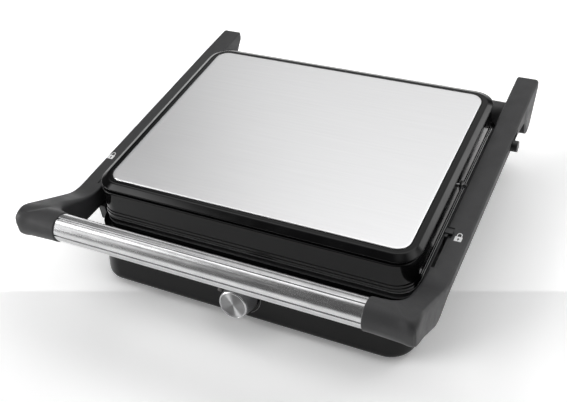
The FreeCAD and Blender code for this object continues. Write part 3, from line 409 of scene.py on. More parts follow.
spun = Finish("spun_face", (0.42, 0.42, 0.425), 0.6, 1.0)
spun.set("Anisotropic", 0.99)
spun.set("Anisotropic Rotation", 0.25)
along_circle = spun.nodes.new("ShaderNodeTangent")
along_circle.direction_type = "UV_MAP"
along_circle.uv_map = "spin"
spun.plug(along_circle.outputs["Tangent"], "Tangent")
spin_uv = spun.nodes.new("ShaderNodeUVMap")
spin_uv.uv_map = "spin"
turning = spun.nodes.new("ShaderNodeTexWave")
turning.bands_direction = "Y"
turning.inputs["Scale"].default_value = 14
turning.inputs["Distortion"].default_value = 0.6
spun.links.new(spin_uv.outputs["UV"], turning.inputs["Vector"])
spun.plug(spun.span(turning.outputs["Fac"], 0.56, 0.62, 0, 1), "Roughness")
print("knob_metal, knurled_side_painted_shade and spun_face are ready")

# %% [markdown]
# The rest are working materials: turned pins, zinc-plated screws, the oxidised heater sheath, rolled
# sheet, the dark non-stick coating with its pale fleck, rubber, and pale heat-resistant plastic. They
# differ only in numbers, so one function makes them all.

# %% Working materials
def speckled(slot, first, second, grain, rough, metallic=0.0, depth=0.02, stretch=(1, 1, 1)):
    """A finish between two colours and two roughnesses, with one noise for both."""
    made = Finish(slot, first, rough[0], metallic)
    fleck = made.noise(grain, stretch)
    made.plug(made.mix(made.span(fleck, 0, 1), first, second), "Base Color")
    made.plug(made.span(fleck, *rough), "Roughness")
    made.bump(fleck, depth, 0.5)
    return made


speckled("pin_steel", (0.72, 0.72, 0.73), (0.8, 0.8, 0.81), 0.4, (0.12, 0.2), 1.0, 0.004)
speckled("screw_steel", (0.4, 0.4, 0.41), (0.55, 0.54, 0.5), 1.2, (0.28, 0.4), 1.0, 0.01)
speckled("heater_steel", (0.1, 0.095, 0.09), (0.24, 0.22, 0.2), 3, (0.4, 0.6), 1.0, 0.02)
speckled("tray_sheet", (0.55, 0.55, 0.56), (0.66, 0.66, 0.67), 0.6, (0.25, 0.4), 1.0, 0.006, (40, 1, 1))
speckled("coated_casting", (0.02, 0.02, 0.021), (0.045, 0.045, 0.047), 0.8, (0.32, 0.46), 0.0, 0.03)
speckled("rubber", (0.018, 0.018, 0.018), (0.03, 0.03, 0.03), 1.5, (0.7, 0.85), 0.0, 0.03)
speckled("switch_plastic", (0.56, 0.53, 0.46), (0.64, 0.62, 0.55), 2, (0.45, 0.55))
speckled("bush_plastic", (0.04, 0.04, 0.04), (0.06, 0.06, 0.06), 1, (0.35, 0.45))
lens = speckled("lens_clear", (0.12, 0.115, 0.11), (0.17, 0.16, 0.155), 1, (0.06, 0.12), 0.0, 0.004)
lens.set("Transmission Weight", 0.35)
glass = speckled("lamp_glass", (0.9, 0.5, 0.3), (0.95, 0.6, 0.4), 2, (0.05, 0.1), 0.0, 0.002)
glass.set("Transmission Weight", 0.8)
speckled("white_print", (0.78, 0.78, 0.78), (0.86, 0.86, 0.86), 0.3, (0.4, 0.5), 0.0, 0.003)
speckled("grey_print", (0.3, 0.3, 0.3), (0.36, 0.36, 0.36), 0.3, (0.4, 0.5), 0.0, 0.003)
print(len(FINISHES), "finishes")

# %% [markdown]
# Every part of the frame names its material slot in the record. The plain parts that stay visible take
# their finish from there in one pass.

# %% Finishes on the frame's own parts
for part in frame["record"]["subparts"]:
    slots = frame["nodes"][part["node"]].data.materials
    slots.clear()
    slots.append(FINISHES[part["material_slot"]])

# %% [markdown]
# ## The base housing
#
# The base is one deep moulding: a leaning front panel, a generous round along its lower edge and a flat
# deck that the lower grill plate sits on. Its section is walked once, from the opening underneath, out
# and up the wall, over the deck and back down inside, and the walk is closed into a ring.

# %% Base housing
COOK = 8  # the middle of the cooking plates along y
FRONT_LOW, FRONT_HIGH, BACK = -144, -131, 150
BASE_LOW, BASE_HIGH = 5, 62.7
WALL = 2.6


def base_level(height, inset):
    """The base's outline at a height, drawn in by an inset; the front leans with the height."""
    front = FRONT_LOW + (height - BASE_LOW) * (FRONT_HIGH - FRONT_LOW) / (BASE_HIGH - BASE_LOW)
    return [326 - 2 * inset, BACK - front - 2 * inset, 25 - inset, (BACK + front) / 2, height]


base_walk = [
    [284.6, 244.6, 12, 4, BASE_LOW],
    base_level(BASE_LOW, 0),
    base_level(BASE_HIGH, 0),
    [302, 238, 15, COOK, BASE_HIGH],
    [302, 238, 15, COOK, BASE_HIGH - WALL],
    base_level(BASE_HIGH - WALL, WALL),
    base_level(BASE_LOW + 3.4, WALL),
    [284.6, 244.6, 12, 4, BASE_LOW + 3.4],
]
base_cuts = [0.4, 7.5, 1.3, 0.4, 0.4, 0.8, 0.8, 0.4]
base_shape = stack(ease(base_walk, base_cuts, 8, True), True)
piece("base_housing", base_shape, "base", "gloss_black", ("base_shell",))

# %% [markdown]
# ## The lid
#
# The lid's cover is a cap with a bevelled rim, a shadow groove under the rim, slightly drafted walls and
# a thin lip at the foot, with two fine beads above it. The groove matters more than its size suggests:
# it draws one dark line round the lid and makes the cap read as a separate step. The steel plate lies
# in a shallow seat, so a hair of shadow runs round it too. The walk goes from the seat outwards, down
# the wall, and back up inside.

# %% Lid cover
def lid_level(width, depth, corner, height):
    """A level over the middle of the cooking plates, which lies a little behind the model's middle."""
    return [width, depth, corner, COOK, height]


lid_walk = [
    lid_level(284, 214, 8, 105.6),
    lid_level(301.2, 231.2, 13.6, 105.6),
    lid_level(301.2, 231.2, 13.6, 107.2),
    lid_level(311, 239, 17, 107.2),
    lid_level(322, 253, 22, 104),
    lid_level(322, 253, 22, 103),
    lid_level(314, 247, 18, 102.8),
    lid_level(314, 247, 18, 101.4),
    lid_level(317, 257, 20, 101.2),
    lid_level(318.3, 258.8, 20, 79.2),
    lid_level(319.7, 260.4, 21, 78.6),
    lid_level(319.7, 260.4, 21, 76.2),
    lid_level(321, 262, 22, 75.4),
    lid_level(321, 262, 22, 72),
    lid_level(308.8, 241.8, 15.4, 72),
    lid_level(308.8, 241.8, 15.4, 103.2),
    lid_level(284, 214, 8, 103.2),
]
lid_cuts = [0, 0.3, 0.4, 1.4, 0.9, 0.4, 0.5, 0.4, 1.2, 0.5, 0.7, 0.4, 0.7, 0.9, 0.5, 1, 0]
lid_shape = stack(ease(lid_walk, lid_cuts, 5, True), True)
piece("lid_cover", lid_shape, "upper_housing", "gloss_black", ("lid_shell",))

# %% [markdown]
# The plate is thin brushed sheet with its edge rolled down, which catches a bright line.

# %% Steel plate on the lid
plate_walk = [
    lid_level(296, 226, 11.4, 106.2),
    lid_level(300, 230, 13, 106.2),
    lid_level(300, 230, 13, 108),
    lid_level(294, 224, 10, 108),
]
plate_shape = stack(ease(plate_walk, [0, 0.2, 1.1, 0], 6))
piece("lid_plate", plate_shape, "upper_housing", "brushed_steel", ("steel_top_plate",))

# %% [markdown]
# ## The grill plates
#
# Each plate is one casting: a flange, a pan behind it and 24 tapered ribs. The pan is a stack of rings
# from the cooking floor, over the flange and round to the back. A rib is a rounded trapezium carried
# along y, sinking into the floor over a quarter circle at both ends, and the other 23 are the same
# numbers moved over.

# %% Grill plates
RIBS, RIB_PITCH, RIB_HIGH, RIB_HALF_LONG = 24, 11.6, 3.9, 109
RIB_FOOT, RIB_CREST, RIB_SINK, RIB_END = 1.7, 0.95, 0.4, 2.4
FLANGE, PAN_DEEP, PAN_WALL = 2.1, 5.2, 3


def rib_net(floor, up):
    """Ribs as a grid: section points (across, height) times stations along y.

    The crest is (0.95 cos t, high - 0.5 + 0.5 sin t). At the ends the height is times sin e while the
    place moves in by the end's length times (1 - cos e), with e over a quarter circle.
    """
    turn = np.linspace(0, np.pi, 10)
    across = np.concatenate([[RIB_FOOT], RIB_CREST * np.cos(turn), [-RIB_FOOT]])
    height = np.concatenate([[-RIB_SINK], RIB_HIGH - 0.5 + 0.5 * np.sin(turn), [-RIB_SINK]])
    end = np.linspace(0, np.pi / 2, 5)
    along = np.concatenate([-RIB_HALF_LONG + RIB_END * (1 - np.cos(end)),
                            RIB_HALF_LONG - RIB_END * (1 - np.cos(end[::-1]))])
    full = np.concatenate([np.sin(end), np.sin(end[::-1])])
    heights = np.where(height > 0, height * np.maximum(full[:, None], 0.02), height)
    one = np.stack(np.broadcast_arrays(across[None], COOK + along[:, None], floor + up * heights), -1)
    count = len(across)
    faces = net(len(along), count).tolist()
    faces += [list(range(count)), list(range((len(along) - 1) * count, len(along) * count))[::-1]]
    moves = (np.arange(RIBS) - (RIBS - 1) / 2) * RIB_PITCH
    return join(*[(one.reshape(-1, 3) + [move, 0, 0], faces) for move in moves])


def grill_plate(name, node, body, flange_low, up):
    """up is 1 for the lower plate, whose ribs stand up, and -1 for the upper one."""
    face = flange_low + FLANGE if up > 0 else flange_low
    back = flange_low if up > 0 else flange_low + FLANGE
    floor = back - up * (PAN_DEEP - PAN_WALL)
    behind = back - up * PAN_DEEP
    walk = [lid_level(286, 222, 9, floor), lid_level(290, 226, 9, floor), lid_level(292, 228, 10, face),
            lid_level(319, 260, 19, face), lid_level(319, 260, 19, back), lid_level(296, 232, 12, back),
            lid_level(295, 231, 11.5, behind), lid_level(290, 226, 9, behind)]
    pan = stack(ease(walk, [0, 1.6, 1, 0.7, 0.7, 0.8, 1.5, 0], 4))
    return piece(name, join(pan, rib_net(floor, up)), body, "coated_casting", (node,))


grill_plate("grill_plate_low", "lower_grill_plate", "base", 62.9, 1)
grill_plate("grill_plate_high", "upper_grill_plate", "upper_housing", 69.3, -1)

# %% [markdown]
# ## The arms
#
# An arm is one moulding that changes its section as it goes: a drop over the hinge at the back, a
# straight rail along the lid, a rise at the front, and a turn of a quarter circle into a round cuff
# that holds the bar. That is a sweep with a changing section. Each station has an inner and an outer
# point in plan, a lower and an upper height, and one radius for each of the four long edges; when the
# radii reach half the width, the rectangle has become the cuff's circle.
#
# The rise lies across both arms like a ramp, so the top and the underside depend on y alone. We call
# them the arm's ceiling and floor.

# %% Ceiling and floor of the arm
ARM_IN, ARM_OUT, ARM_TOP, ARM_LOW = 166, 188.5, 88.5, 70
HINGE_Y, HINGE_Z, LOBE = 156, 63.2, 14.5
BAR_Y, BAR_Z, BAR_R, CUFF_R = -184, 113.5, 12.5, 13.7
RISE = math.tan(math.radians(31))


def rising(y, start, softness):
    """0 behind the start of a rise, its slope in front, and between them a parabola 2 x softness long."""
    ahead = start - y
    bend = (ahead + softness) ** 2 / (4 * softness)
    return RISE * np.where(ahead < -softness, 0, np.where(ahead > softness, ahead, bend))


def arm_ceiling(y):
    """The top: level, then the rise, then level again over the bar."""
    return ARM_TOP + rising(y, -117.5, 12) - rising(y, -181.9, 7)


def arm_floor(y):
    """The underside: level, then a slightly steeper rise to the underside of the cuff."""
    return ARM_LOW + 1.18 * (rising(y, -142, 12) - rising(y, -184, 7))


print("the ceiling climbs", round(float(arm_ceiling(BAR_Y - CUFF_R) - ARM_TOP), 1), "mm to the bar")

# %% [markdown]
# The first stations run forwards: the rounded tip of the tail, the round lobe over the hinge, and the
# long rail. The tip is a quarter circle in plan, where the inset draws the whole section in, and the
# rail leaves the lobe over a few short steps. The edge radii are read from a table by y. Draft is the
# taper that lets a moulding leave its tool.

# %% Stations along the tail and the rail
tip = np.radians(np.linspace(0, 90, 7))
tip_y, tip_inset = 196 - 4 * (1 - np.cos(tip)), 4 * (1 - np.sin(tip))
tail_y = np.linspace(189, 168, 4)
lobe_turn = np.radians(np.linspace(-45, -180, 22))
lobe_y = HINGE_Y + LOBE * np.cos(lobe_turn)
PIVOT = np.array([146.0, -150.3])
rail_y = np.concatenate([[141.3, 140.6, 139], np.linspace(130, -95, 22), np.linspace(-99, PIVOT[1], 24)])
rail_low = arm_floor(rail_y)
rail_low[:3] += [-4.5, -1.4, -0.3]
along_y = np.concatenate([tip_y, tail_y, lobe_y, rail_y])
low = np.concatenate([81.6 + tip_y - 195, 81.6 + tail_y - 195, HINGE_Z + LOBE * np.sin(lobe_turn), rail_low])
top = arm_ceiling(along_y)
inset = np.concatenate([tip_inset, np.zeros(len(along_y) - len(tip_y))])
marks = [PIVOT[1], -140, -112, 150, 185]
edge_rows = [
    [3, 3, 1.2, 1.2, 1.2],  # outer edge below
    [3, 3, 2.4, 2.4, 3.4],  # outer edge above
    [7, 5, 2, 2, 2],  # inner edge above
    [7, 4, 1.5, 1.5, 1.2],  # inner edge below
]
radii = np.stack([np.interp(along_y, marks, row) for row in edge_rows], -1)
draft = np.interp(along_y, [-150, -110, 120, 150], [0, 2.3, 2.3, 0])
rail_inner = np.stack([np.full(len(along_y), float(ARM_IN)), along_y], -1)
rail_outer = np.stack([np.full(len(along_y), float(ARM_OUT)), along_y], -1)
print(len(along_y), "stations along the tail and the rail")

# %% [markdown]
# In front the arm turns through a quarter circle about one point. A ray swings about that point. The
# inner wall is a plain arc, and the outer wall is where the ray meets the side, the front, or the round
# corner between them: a ray along d from the pivot meets a circle of radius r about c at a distance of
# d.c + sqrt((d.c)^2 - (c.c - r^2)).
#
# `hug` says how closely a section keeps to the ceiling and the floor. It is whole where the turn begins
# and nothing where the turn ends, because there the section is a level circle round the bar.

# %% Stations round the turn and into the cuff
turning_share = np.linspace(0, 1, 34)[1:]
ray = turning_share * np.pi / 2
ray_way = np.stack([np.cos(ray), -np.sin(ray)], -1)
FRONT_Y, ROUND_R = -197.7, 5.5
ROUND_AT = np.array([ARM_OUT - ROUND_R, FRONT_Y + ROUND_R]) - PIVOT
toward = ray_way @ ROUND_AT
on_round = toward + np.sqrt(np.maximum(toward ** 2 - (ROUND_AT @ ROUND_AT - ROUND_R ** 2), 0))
to_side = (ARM_OUT - PIVOT[0]) / np.maximum(ray_way[:, 0], 1e-6)
to_front = (PIVOT[1] - FRONT_Y) / np.maximum(-ray_way[:, 1], 1e-6)
side_y = to_side * ray_way[:, 1]
front_x = to_front * ray_way[:, 0]
reach = np.where(side_y > ROUND_AT[1], to_side, np.where(front_x < ROUND_AT[0], to_front, on_round))
turn_inner = PIVOT + (ARM_IN - PIVOT[0]) * ray_way
turn_outer = PIVOT + reach[:, None] * ray_way


def smooth_step(value, start, end):
    """0 up to the start, 1 from the end on, and 3t^2 - 2t^3 between."""
    t = np.clip((value - start) / (end - start), 0, 1)
    return 3 * t ** 2 - 2 * t ** 3


turn_y = (turn_inner[:, 1] + turn_outer[:, 1]) / 2
hug = 1 - smooth_step(turning_share, 0.5, 0.95)
turn_top = BAR_Z + CUFF_R + hug * (arm_ceiling(turn_y) - BAR_Z - CUFF_R)
turn_low = BAR_Z - CUFF_R + hug * (arm_floor(turn_y) - BAR_Z + CUFF_R)
turn_mid, turn_half = (turn_top + turn_low) / 2, (turn_top - turn_low) / 2
rounding_spans = ((0.4, 0.64), (0.4, 0.64), (0.1, 0.9), (0.1, 0.9))
rounding = np.stack([smooth_step(turning_share, start, end) for start, end in rounding_spans], -1)
turn_radii = radii[-1] + (CUFF_R - radii[-1]) * rounding

cuff_x = np.array([145.95, 145.9, 145.8, 145.6, 145.4, 145.2, 145])
cuff_inset = np.array([0, 0, 0.03, 0.12, 0.27, 0.5, 0.9])
cuff_inner = np.stack([cuff_x, np.full(7, BAR_Y + CUFF_R)], -1)
cuff_outer = np.stack([cuff_x, np.full(7, FRONT_Y)], -1)

inner = np.concatenate([rail_inner, turn_inner, cuff_inner])
outer = np.concatenate([rail_outer, turn_outer, cuff_outer])
mid = np.concatenate([(low + top) / 2, turn_mid, np.full(7, BAR_Z)])
half_high = np.concatenate([(top - low) / 2, turn_half, np.full(7, CUFF_R)])
radii = np.concatenate([radii, turn_radii, np.full((7, 4), CUFF_R)])
inset = np.concatenate([inset, np.zeros(len(ray)), cuff_inset])
draft = np.concatenate([draft, np.zeros(len(ray) + 7)])
hug = np.concatenate([np.zeros(len(along_y)), hug, np.zeros(7)])
print(len(inner), "stations in all")

# %% [markdown]
# Now the stations become a skin, and the skin is cut as the real moulding is cored: a slot and a recess
# for the lock slider, a channel along the underside, bores for the hinge, the float pin and the bar,
# and on the right arm the release peg's slot.

# %% The arm's skin
EDGE_STEPS = 7
CORNERS = ((1, -1, -90), (1, 1, 0), (-1, 1, 90), (-1, -1, 180))


def arm_skin(side):
    """The rings of an arm and the net over them; side is 1 for the right arm and -1 for the left.

    A corner point is the corner's middle plus its radius times (cos, sin). Draft moves a point inwards
    by its share of the width times its share of the height below the top, so only the outer wall
    leans. Hug stretches the half height until it reaches the ceiling or the floor at the point's own y.
    """
    half_wide = np.linalg.norm(outer - inner, axis=1) / 2 - inset
    high = half_high - inset
    across = (outer - inner) / np.linalg.norm(outer - inner, axis=1)[:, None]
    centre = (outer + inner) / 2
    columns = []
    for k, (right, upper, start) in enumerate(CORNERS):
        radius = np.minimum(np.maximum(radii[:, k] - inset, 0.2), np.minimum(half_wide, high))[:, None]
        angle = np.radians(np.linspace(start, start + 90, EDGE_STEPS + 1))[None]
        u = right * (half_wide[:, None] - radius) + radius * np.cos(angle)
        v = upper * (high[:, None] - radius) + radius * np.sin(angle)
        columns.append(np.stack([u, v], -1))
    section = np.concatenate(columns, 1)
    u, v = section[..., 0], section[..., 1]
    tall = high[:, None]
    u = u - draft[:, None] * np.clip(u / half_wide[:, None] + 1, 0, 2) / 2 * (tall - v) / (2 * tall)
    plan = centre[:, None] + across[:, None] * u[..., None]
    there = np.where(v > 0, arm_ceiling(plan[..., 1]) - mid[:, None], mid[:, None] - arm_floor(plan[..., 1]))
    v = v * (1 + hug[:, None] * (there / tall - 1))
    points = np.concatenate([plan, (mid[:, None] + v)[..., None]], -1)
    return points * [side, 1, 1], capped(*points.shape[:2])


def both(shape, side):
    """A shape given for the right side, or its mirror image."""
    points, faces = shape
    return np.asarray(points, float).reshape(-1, 3) * [side, 1, 1], faces


def plain_block(low_corner, high_corner):
    """Eight corners and six faces, for cutting."""
    grid = np.array(np.meshgrid(*zip(low_corner, high_corner), indexing="ij")).reshape(3, -1).T
    return grid, [[0, 1, 3, 2], [4, 6, 7, 5], [0, 4, 5, 1], [2, 3, 7, 6], [0, 2, 6, 4], [1, 5, 7, 3]]


def arm(name, node, side):
    """One arm: the skin, less everything that is cored out of it."""
    made = piece(name, arm_skin(side), "handle_frame", "soft_black", (node,))
    tools = [
        plain_block((150, -99, 87.7), (173, -48, 100)),  # the lock slider's recess
        plain_block((167.2, -98, 60), (170.2, -51, 100)),  # the lock slider's slot
        plain_block((173, -100, 60), (184.5, 136, 85.9)),  # the channel
        tube(6, 160, 187.2, HINGE_Y, HINGE_Z),  # the hinge's bore
        tube(9, 186.9, 192, HINGE_Y, HINGE_Z, 64),  # the hinge cap's seat
        tube(2.5, 160, 186, 17, 80, 32),  # the float pin's bore
        tube(BAR_R, 140, 150, BAR_Y, BAR_Z, 96),  # the bar's seat
    ]
    if side > 0:
        tools.append(plain_block((183, 83.2, 74.2), (192, 110.8, 85.8)))  # the release peg's slot
    return carve(made, *[both(tool, side) for tool in tools])


arm("arm_right", "right_arm", 1)
arm("arm_left", "left_arm", -1)

# %% [markdown]
# ## The handle bar
#
# The bar is a drawn steel tube with two fine grooves along it. The tube is a circle whose radius drops
# by the groove's depth inside two narrow windows of angle, carried from cuff to cuff.

# %% Handle bar
GROOVES = (97.8, 172.2)
GROOVE_WIDE, GROOVE_DEEP = 1.5, 1.1
BAR_HALF_LONG, BAR_STOPS = 149.9, 13


def bar_section():
    """Angles packed at the groove edges, and the radius at each; half a groove is width / 2 / radius."""
    half = math.degrees(GROOVE_WIDE / 2 / BAR_R)
    edge = 0.35
    angle, drop = [np.arange(0, 360, 3.0)], [np.zeros(120)]
    for at in GROOVES:
        angle.append(at + np.array([-half - edge, -half, half, half + edge]))
        drop.append(np.array([0, GROOVE_DEEP, GROOVE_DEEP, 0]))
        inside = np.abs(angle[0] - at) < half + edge
        angle[0], drop[0] = angle[0][~inside], drop[0][~inside]
    angle, drop = np.concatenate(angle), np.concatenate(drop)
    order = np.argsort(angle)
    return np.radians(angle[order]), BAR_R - drop[order]


bar_angle, bar_radius = bar_section()
bar_ring = np.stack([0 * bar_angle, BAR_Y + bar_radius * np.cos(bar_angle),
                     BAR_Z + bar_radius * np.sin(bar_angle)], -1)
bar_stops = np.linspace(-BAR_HALF_LONG, BAR_HALF_LONG, BAR_STOPS)
bar_points = bar_ring[None] + bar_stops[:, None, None] * [1, 0, 0]
bar_shape = (bar_points.reshape(-1, 3), capped(BAR_STOPS, len(bar_ring)))
piece("bar_tube", bar_shape, "handle_frame", "bar_steel", ("handle_bar",), 40)

# %% [markdown]
# ## The knob
#
# The knob stands square on the leaning panel, so its numbers are given as x, up the panel and out of it,
# and one function stands them on the appliance. Knurling is pressed into the side by two toothed rolls,
# one leaning each way: the height is the larger of |sin(20 turns + lean)| and |sin(20 turns - lean)|,
# which leaves forty diamonds round the knob. It is real geometry, because it shows in the outline.

# %% Knob
LEAN = math.radians(12.7)
PANEL_Y, PANEL_Z = -138.2, 30.75


def on_panel(x, up, out):
    """(x, up, out) on the panel to x, y, z."""
    x, up, out = np.broadcast_arrays(x, up, out)
    return np.stack([x, PANEL_Y + up * math.sin(LEAN) - out * math.cos(LEAN),
                     PANEL_Z + up * math.cos(LEAN) + out * math.sin(LEAN)], -1)


KNURLS, KNURL_DEEP, KNURL_LEAN = 40, 0.5, 1.25
skirt_out = np.concatenate([[0.6, 0.9], np.linspace(1.4, 15.2, 40), [15.8, 16.2, 16.4]])
skirt_turn = np.linspace(0, 2 * np.pi, KNURLS * 8, endpoint=False)
phase = skirt_out[:, None] * KNURL_LEAN
half_turns = KNURLS / 2 * skirt_turn
ridges = np.maximum(np.abs(np.sin(half_turns + phase)), np.abs(np.sin(half_turns - phase)))
knurled = ((skirt_out > 1.2) & (skirt_out < 15.3))[:, None]
skirt_radius = 16.5 - np.where(knurled, KNURL_DEEP * (1.6 - 1.6 * ridges).clip(0, 1), 0)
skirt_radius = skirt_radius - np.interp(skirt_out, [0.6, 0.9, 3, 15.8, 16.4], [0.3, 0, 0, 1.9, 2.4])[:, None]
skirt_way = np.cos(skirt_turn), np.sin(skirt_turn)
skirt_points = on_panel(skirt_radius * skirt_way[0], skirt_radius * skirt_way[1], skirt_out[:, None])
skirt_shape = (skirt_points.reshape(-1, 3), capped(*skirt_radius.shape))
# the knurled side takes the darker copy of the knob's metal, a painted shade
piece("knob_side", skirt_shape, "knob", "knurled_side_painted_shade", ("knob_skirt",), 50)
rim_profile = [(12.3, 16.4), (13.9, 16.4), (14.2, 16.6), (14.2, 17.2), (14.1, 17.4), (13.4, 17.95),
               (13.2, 18.0), (12.8, 18.0), (12.6, 17.9), (12.4, 17.6), (12.3, 17.2)]
piece("knob_rim", lathe(rim_profile, 96, on_panel), "knob", "knob_metal", ("knob_face",), 25)

# %% [markdown]
# The face is faced off on a lathe, which leaves circles finer than a hair. The disc itself is a very
# shallow dish, and the shader spreads the light across the circles. Its UV map is wound round the axis:
# u is the share of a turn and v the share of the radius. A face that crosses the start of the turn has
# one side near 0 and the other near 1, so a whole turn is added to its low side.

# %% Spun face
FACE_R = 12.45
dish = np.linspace(FACE_R, 0.1, 17)
face_profile = [(FACE_R, 16.9)] + list(zip(dish, 17.4 + 0.1 * (dish / FACE_R) ** 2))
knob_dial = piece("knob_dial", lathe(face_profile, 96, on_panel), "knob", "spun_face")


def wind_map(mesh, name):
    """Writes u = atan2(up, x) / 2 pi and v = radius / face radius for every corner of every face."""
    place = np.zeros(3 * len(mesh.vertices))
    mesh.vertices.foreach_get("co", place)
    x, y, z = place.reshape(-1, 3).T / MM
    up = (y - PANEL_Y) * math.sin(LEAN) + (z - PANEL_Z) * math.cos(LEAN)
    corner_point = np.zeros(len(mesh.loops), int)
    mesh.loops.foreach_get("vertex_index", corner_point)
    first_corner = np.zeros(len(mesh.polygons), int)
    mesh.polygons.foreach_get("loop_start", first_corner)
    share = (np.arctan2(up, x) / (2 * np.pi) % 1)[corner_point]
    corners = np.diff(np.append(first_corner, len(share)))
    highest = np.repeat(np.maximum.reduceat(share, first_corner), corners)
    share = np.where(highest - share > 0.5, share + 1, share)
    wound = np.stack([share, (np.hypot(x, up) / FACE_R)[corner_point]], -1)
    mesh.uv_layers.new(name=name).data.foreach_set("uv", wound.ravel())
    return wound


print("wound map covers", wind_map(knob_dial.data, "spin").max(0).round(2), "turns and radii")

# %% [markdown]
# A fine grey arc is printed on the panel round the right of the knob. It is a thin band between two
# circles, a few hundredths of a millimetre proud.

# %% Dial arc
ARC_STEPS = 49
arc_turn = np.radians(np.linspace(-62, 62, ARC_STEPS))
arc_corner = np.array([[19.2, 0.02], [19.55, 0.02], [19.55, 0.06], [19.2, 0.06]])
arc_radius, arc_out = arc_corner.T
arc_points = on_panel(arc_radius * np.cos(arc_turn)[:, None], arc_radius * np.sin(arc_turn)[:, None], arc_out)
piece("dial_arc", (arc_points.reshape(-1, 3), capped(ARC_STEPS, 4)), "base", "grey_print")

# %% [markdown]
# ## The indicator lamp
#
# A small domed lens, pressed into the panel beside the knob. The dome is a flattened part of a sphere:
# radius times cos a, and height times sin a.

# %% Indicator lens
LAMP_X, LAMP_UP = -23.5, -1.3
LENS_R, DOME_FOOT, DOME_HIGH = 2.35, 0.05, 0.75
dome = np.radians(np.linspace(0, 80, 7))
lens_profile = [(LENS_R, -3.2), (LENS_R, DOME_FOOT)]
lens_profile += [(LENS_R * math.cos(a), DOME_FOOT + DOME_HIGH * math.sin(a)) for a in dome]
piece("lamp_lens", lathe(lens_profile, 32, lambda x, up, out: on_panel(x + LAMP_X, up + LAMP_UP, out)),
      "base", "lens_clear", ("indicator_lens",))

# %% [markdown]
# ## Signs
#
# A small padlock is printed in white on each arm beside its lock slider. It is flat shapes a twentieth
# of a millimetre thick: a shackle, which is a band round half a circle with two short legs, and a body,
# which is the band between a square with cut corners and a keyhole. At an angle a, a rectangle's edge
# is at the smaller of half width / |cos a| and half height / |sin a|.

# %% Padlock signs
PRINT = 0.05


def band(outside, inside, closed):
    """A flat band between two lines of (across, along) points, given a thickness."""
    line = np.concatenate([outside, inside])
    count = len(outside)
    low_side = np.column_stack([line, np.zeros(2 * count)])
    high_side = low_side + [0, 0, PRINT]
    stop = count if closed else count - 1
    i = np.arange(stop)
    j = (i + 1) % count
    upper = np.stack([i, j, j + count, i + count], -1)
    shift = 2 * count
    faces = (upper + shift).tolist() + upper[:, ::-1].tolist()
    faces += np.stack([i, j, j + shift, i + shift], -1).tolist()
    faces += np.stack([i + count, i + count + shift, j + count + shift, j + count], -1).tolist()
    if not closed:
        last = count - 1
        faces += [[0, shift, shift + count, count], [last, last + count, last + count + shift, last + shift]]
    return np.concatenate([low_side, high_side]), faces


def padlock(x, y, z, size=1.0):
    """The sign at a place on an arm, its shackle towards the back; size widens and lengthens it."""
    turn = np.radians(np.linspace(0, 180, 17))
    arch = np.stack([np.cos(turn), np.sin(turn)], -1)
    legs = np.array([[1, -1.6]]), np.array([[-1, -1.6]])
    lines = []
    for radius in (2.1, 1.45):
        lines.append(np.concatenate([legs[0] * [radius, 1], arch * radius, legs[1] * [radius, 1]]) + [0, 2.3])
    shackle = band(*lines, closed=False)
    angle = np.radians(np.arange(0, 360, 6.0))
    wide, tall = 2.9, 2.4
    to_sides = wide / np.maximum(np.abs(np.cos(angle)), 1e-6)
    to_ends = tall / np.maximum(np.abs(np.sin(angle)), 1e-6)
    square = np.minimum(np.minimum(to_sides, to_ends), 3.6)
    hole = 0.75 + 0.7 * (np.cos(angle + np.pi / 2) > 0.92)
    way = np.stack([np.cos(angle), np.sin(angle)], -1)
    lock_body = band(way * square[:, None] + [0, -1.6], way * hole[:, None] + [0, -1.6], closed=True)
    points, faces = join(shackle, lock_body)
    return points * [size, size * 1.1, 1] + [x, y, z], faces


SIGN_Y = -58
for label, x in (("padlock_right", 179.3), ("padlock_left", -183.4)):
    piece(label, padlock(x, SIGN_Y, ARM_TOP - 0.01, 1.12), "handle_frame", "white_print")

# %% [markdown]
# ## Light, floor and sky
#
# Steel and black gloss have hardly a colour of their own: they show the room. So the lighting is a dark
# room with soft patches, and each patch is put where one surface mirrors it. A patch is a product of
# two windows, one in azimuth (0 is behind the appliance, and it grows to the right) and one in
# elevation, both with soft edges. Near the horizon the sky is white, as wide as a studio's backdrop.
#
# A patch also lights the matte plastic, so none is wider or stronger than its own reflection needs.
# Together they light a white surface at about its own colour.

# %% Sky with soft patches
sky = bpy.data.worlds.new("studio")
bpy.context.scene.world = sky
sky.use_nodes = True
sky_nodes, sky_links = sky.node_tree.nodes, sky.node_tree.links


def sky_math(operation, first, second=0.0):
    """One arithmetic node; each term is a number or another node's output."""
    node = sky_nodes.new("ShaderNodeMath")
    node.operation = operation
    for socket, value in zip(node.inputs, (first, second)):
        if isinstance(value, (int, float)):
            socket.default_value = value
        else:
            sky_links.new(value, socket)
    return node.outputs[0]


def sky_window(angle, middle, half, soft):
    """1 within half of the middle angle, 0 outside, with an edge `soft` wide, all in degrees."""
    away = sky_math("ABSOLUTE", sky_math("SUBTRACT", angle, math.radians(middle)))
    node = sky_nodes.new("ShaderNodeMapRange")
    node.interpolation_type = "SMOOTHSTEP"
    for socket, number in (("From Min", math.radians(half + soft)), ("From Max", math.radians(half - soft))):
        node.inputs[socket].default_value = number
    sky_links.new(away, node.inputs["Value"])
    return node.outputs["Result"]


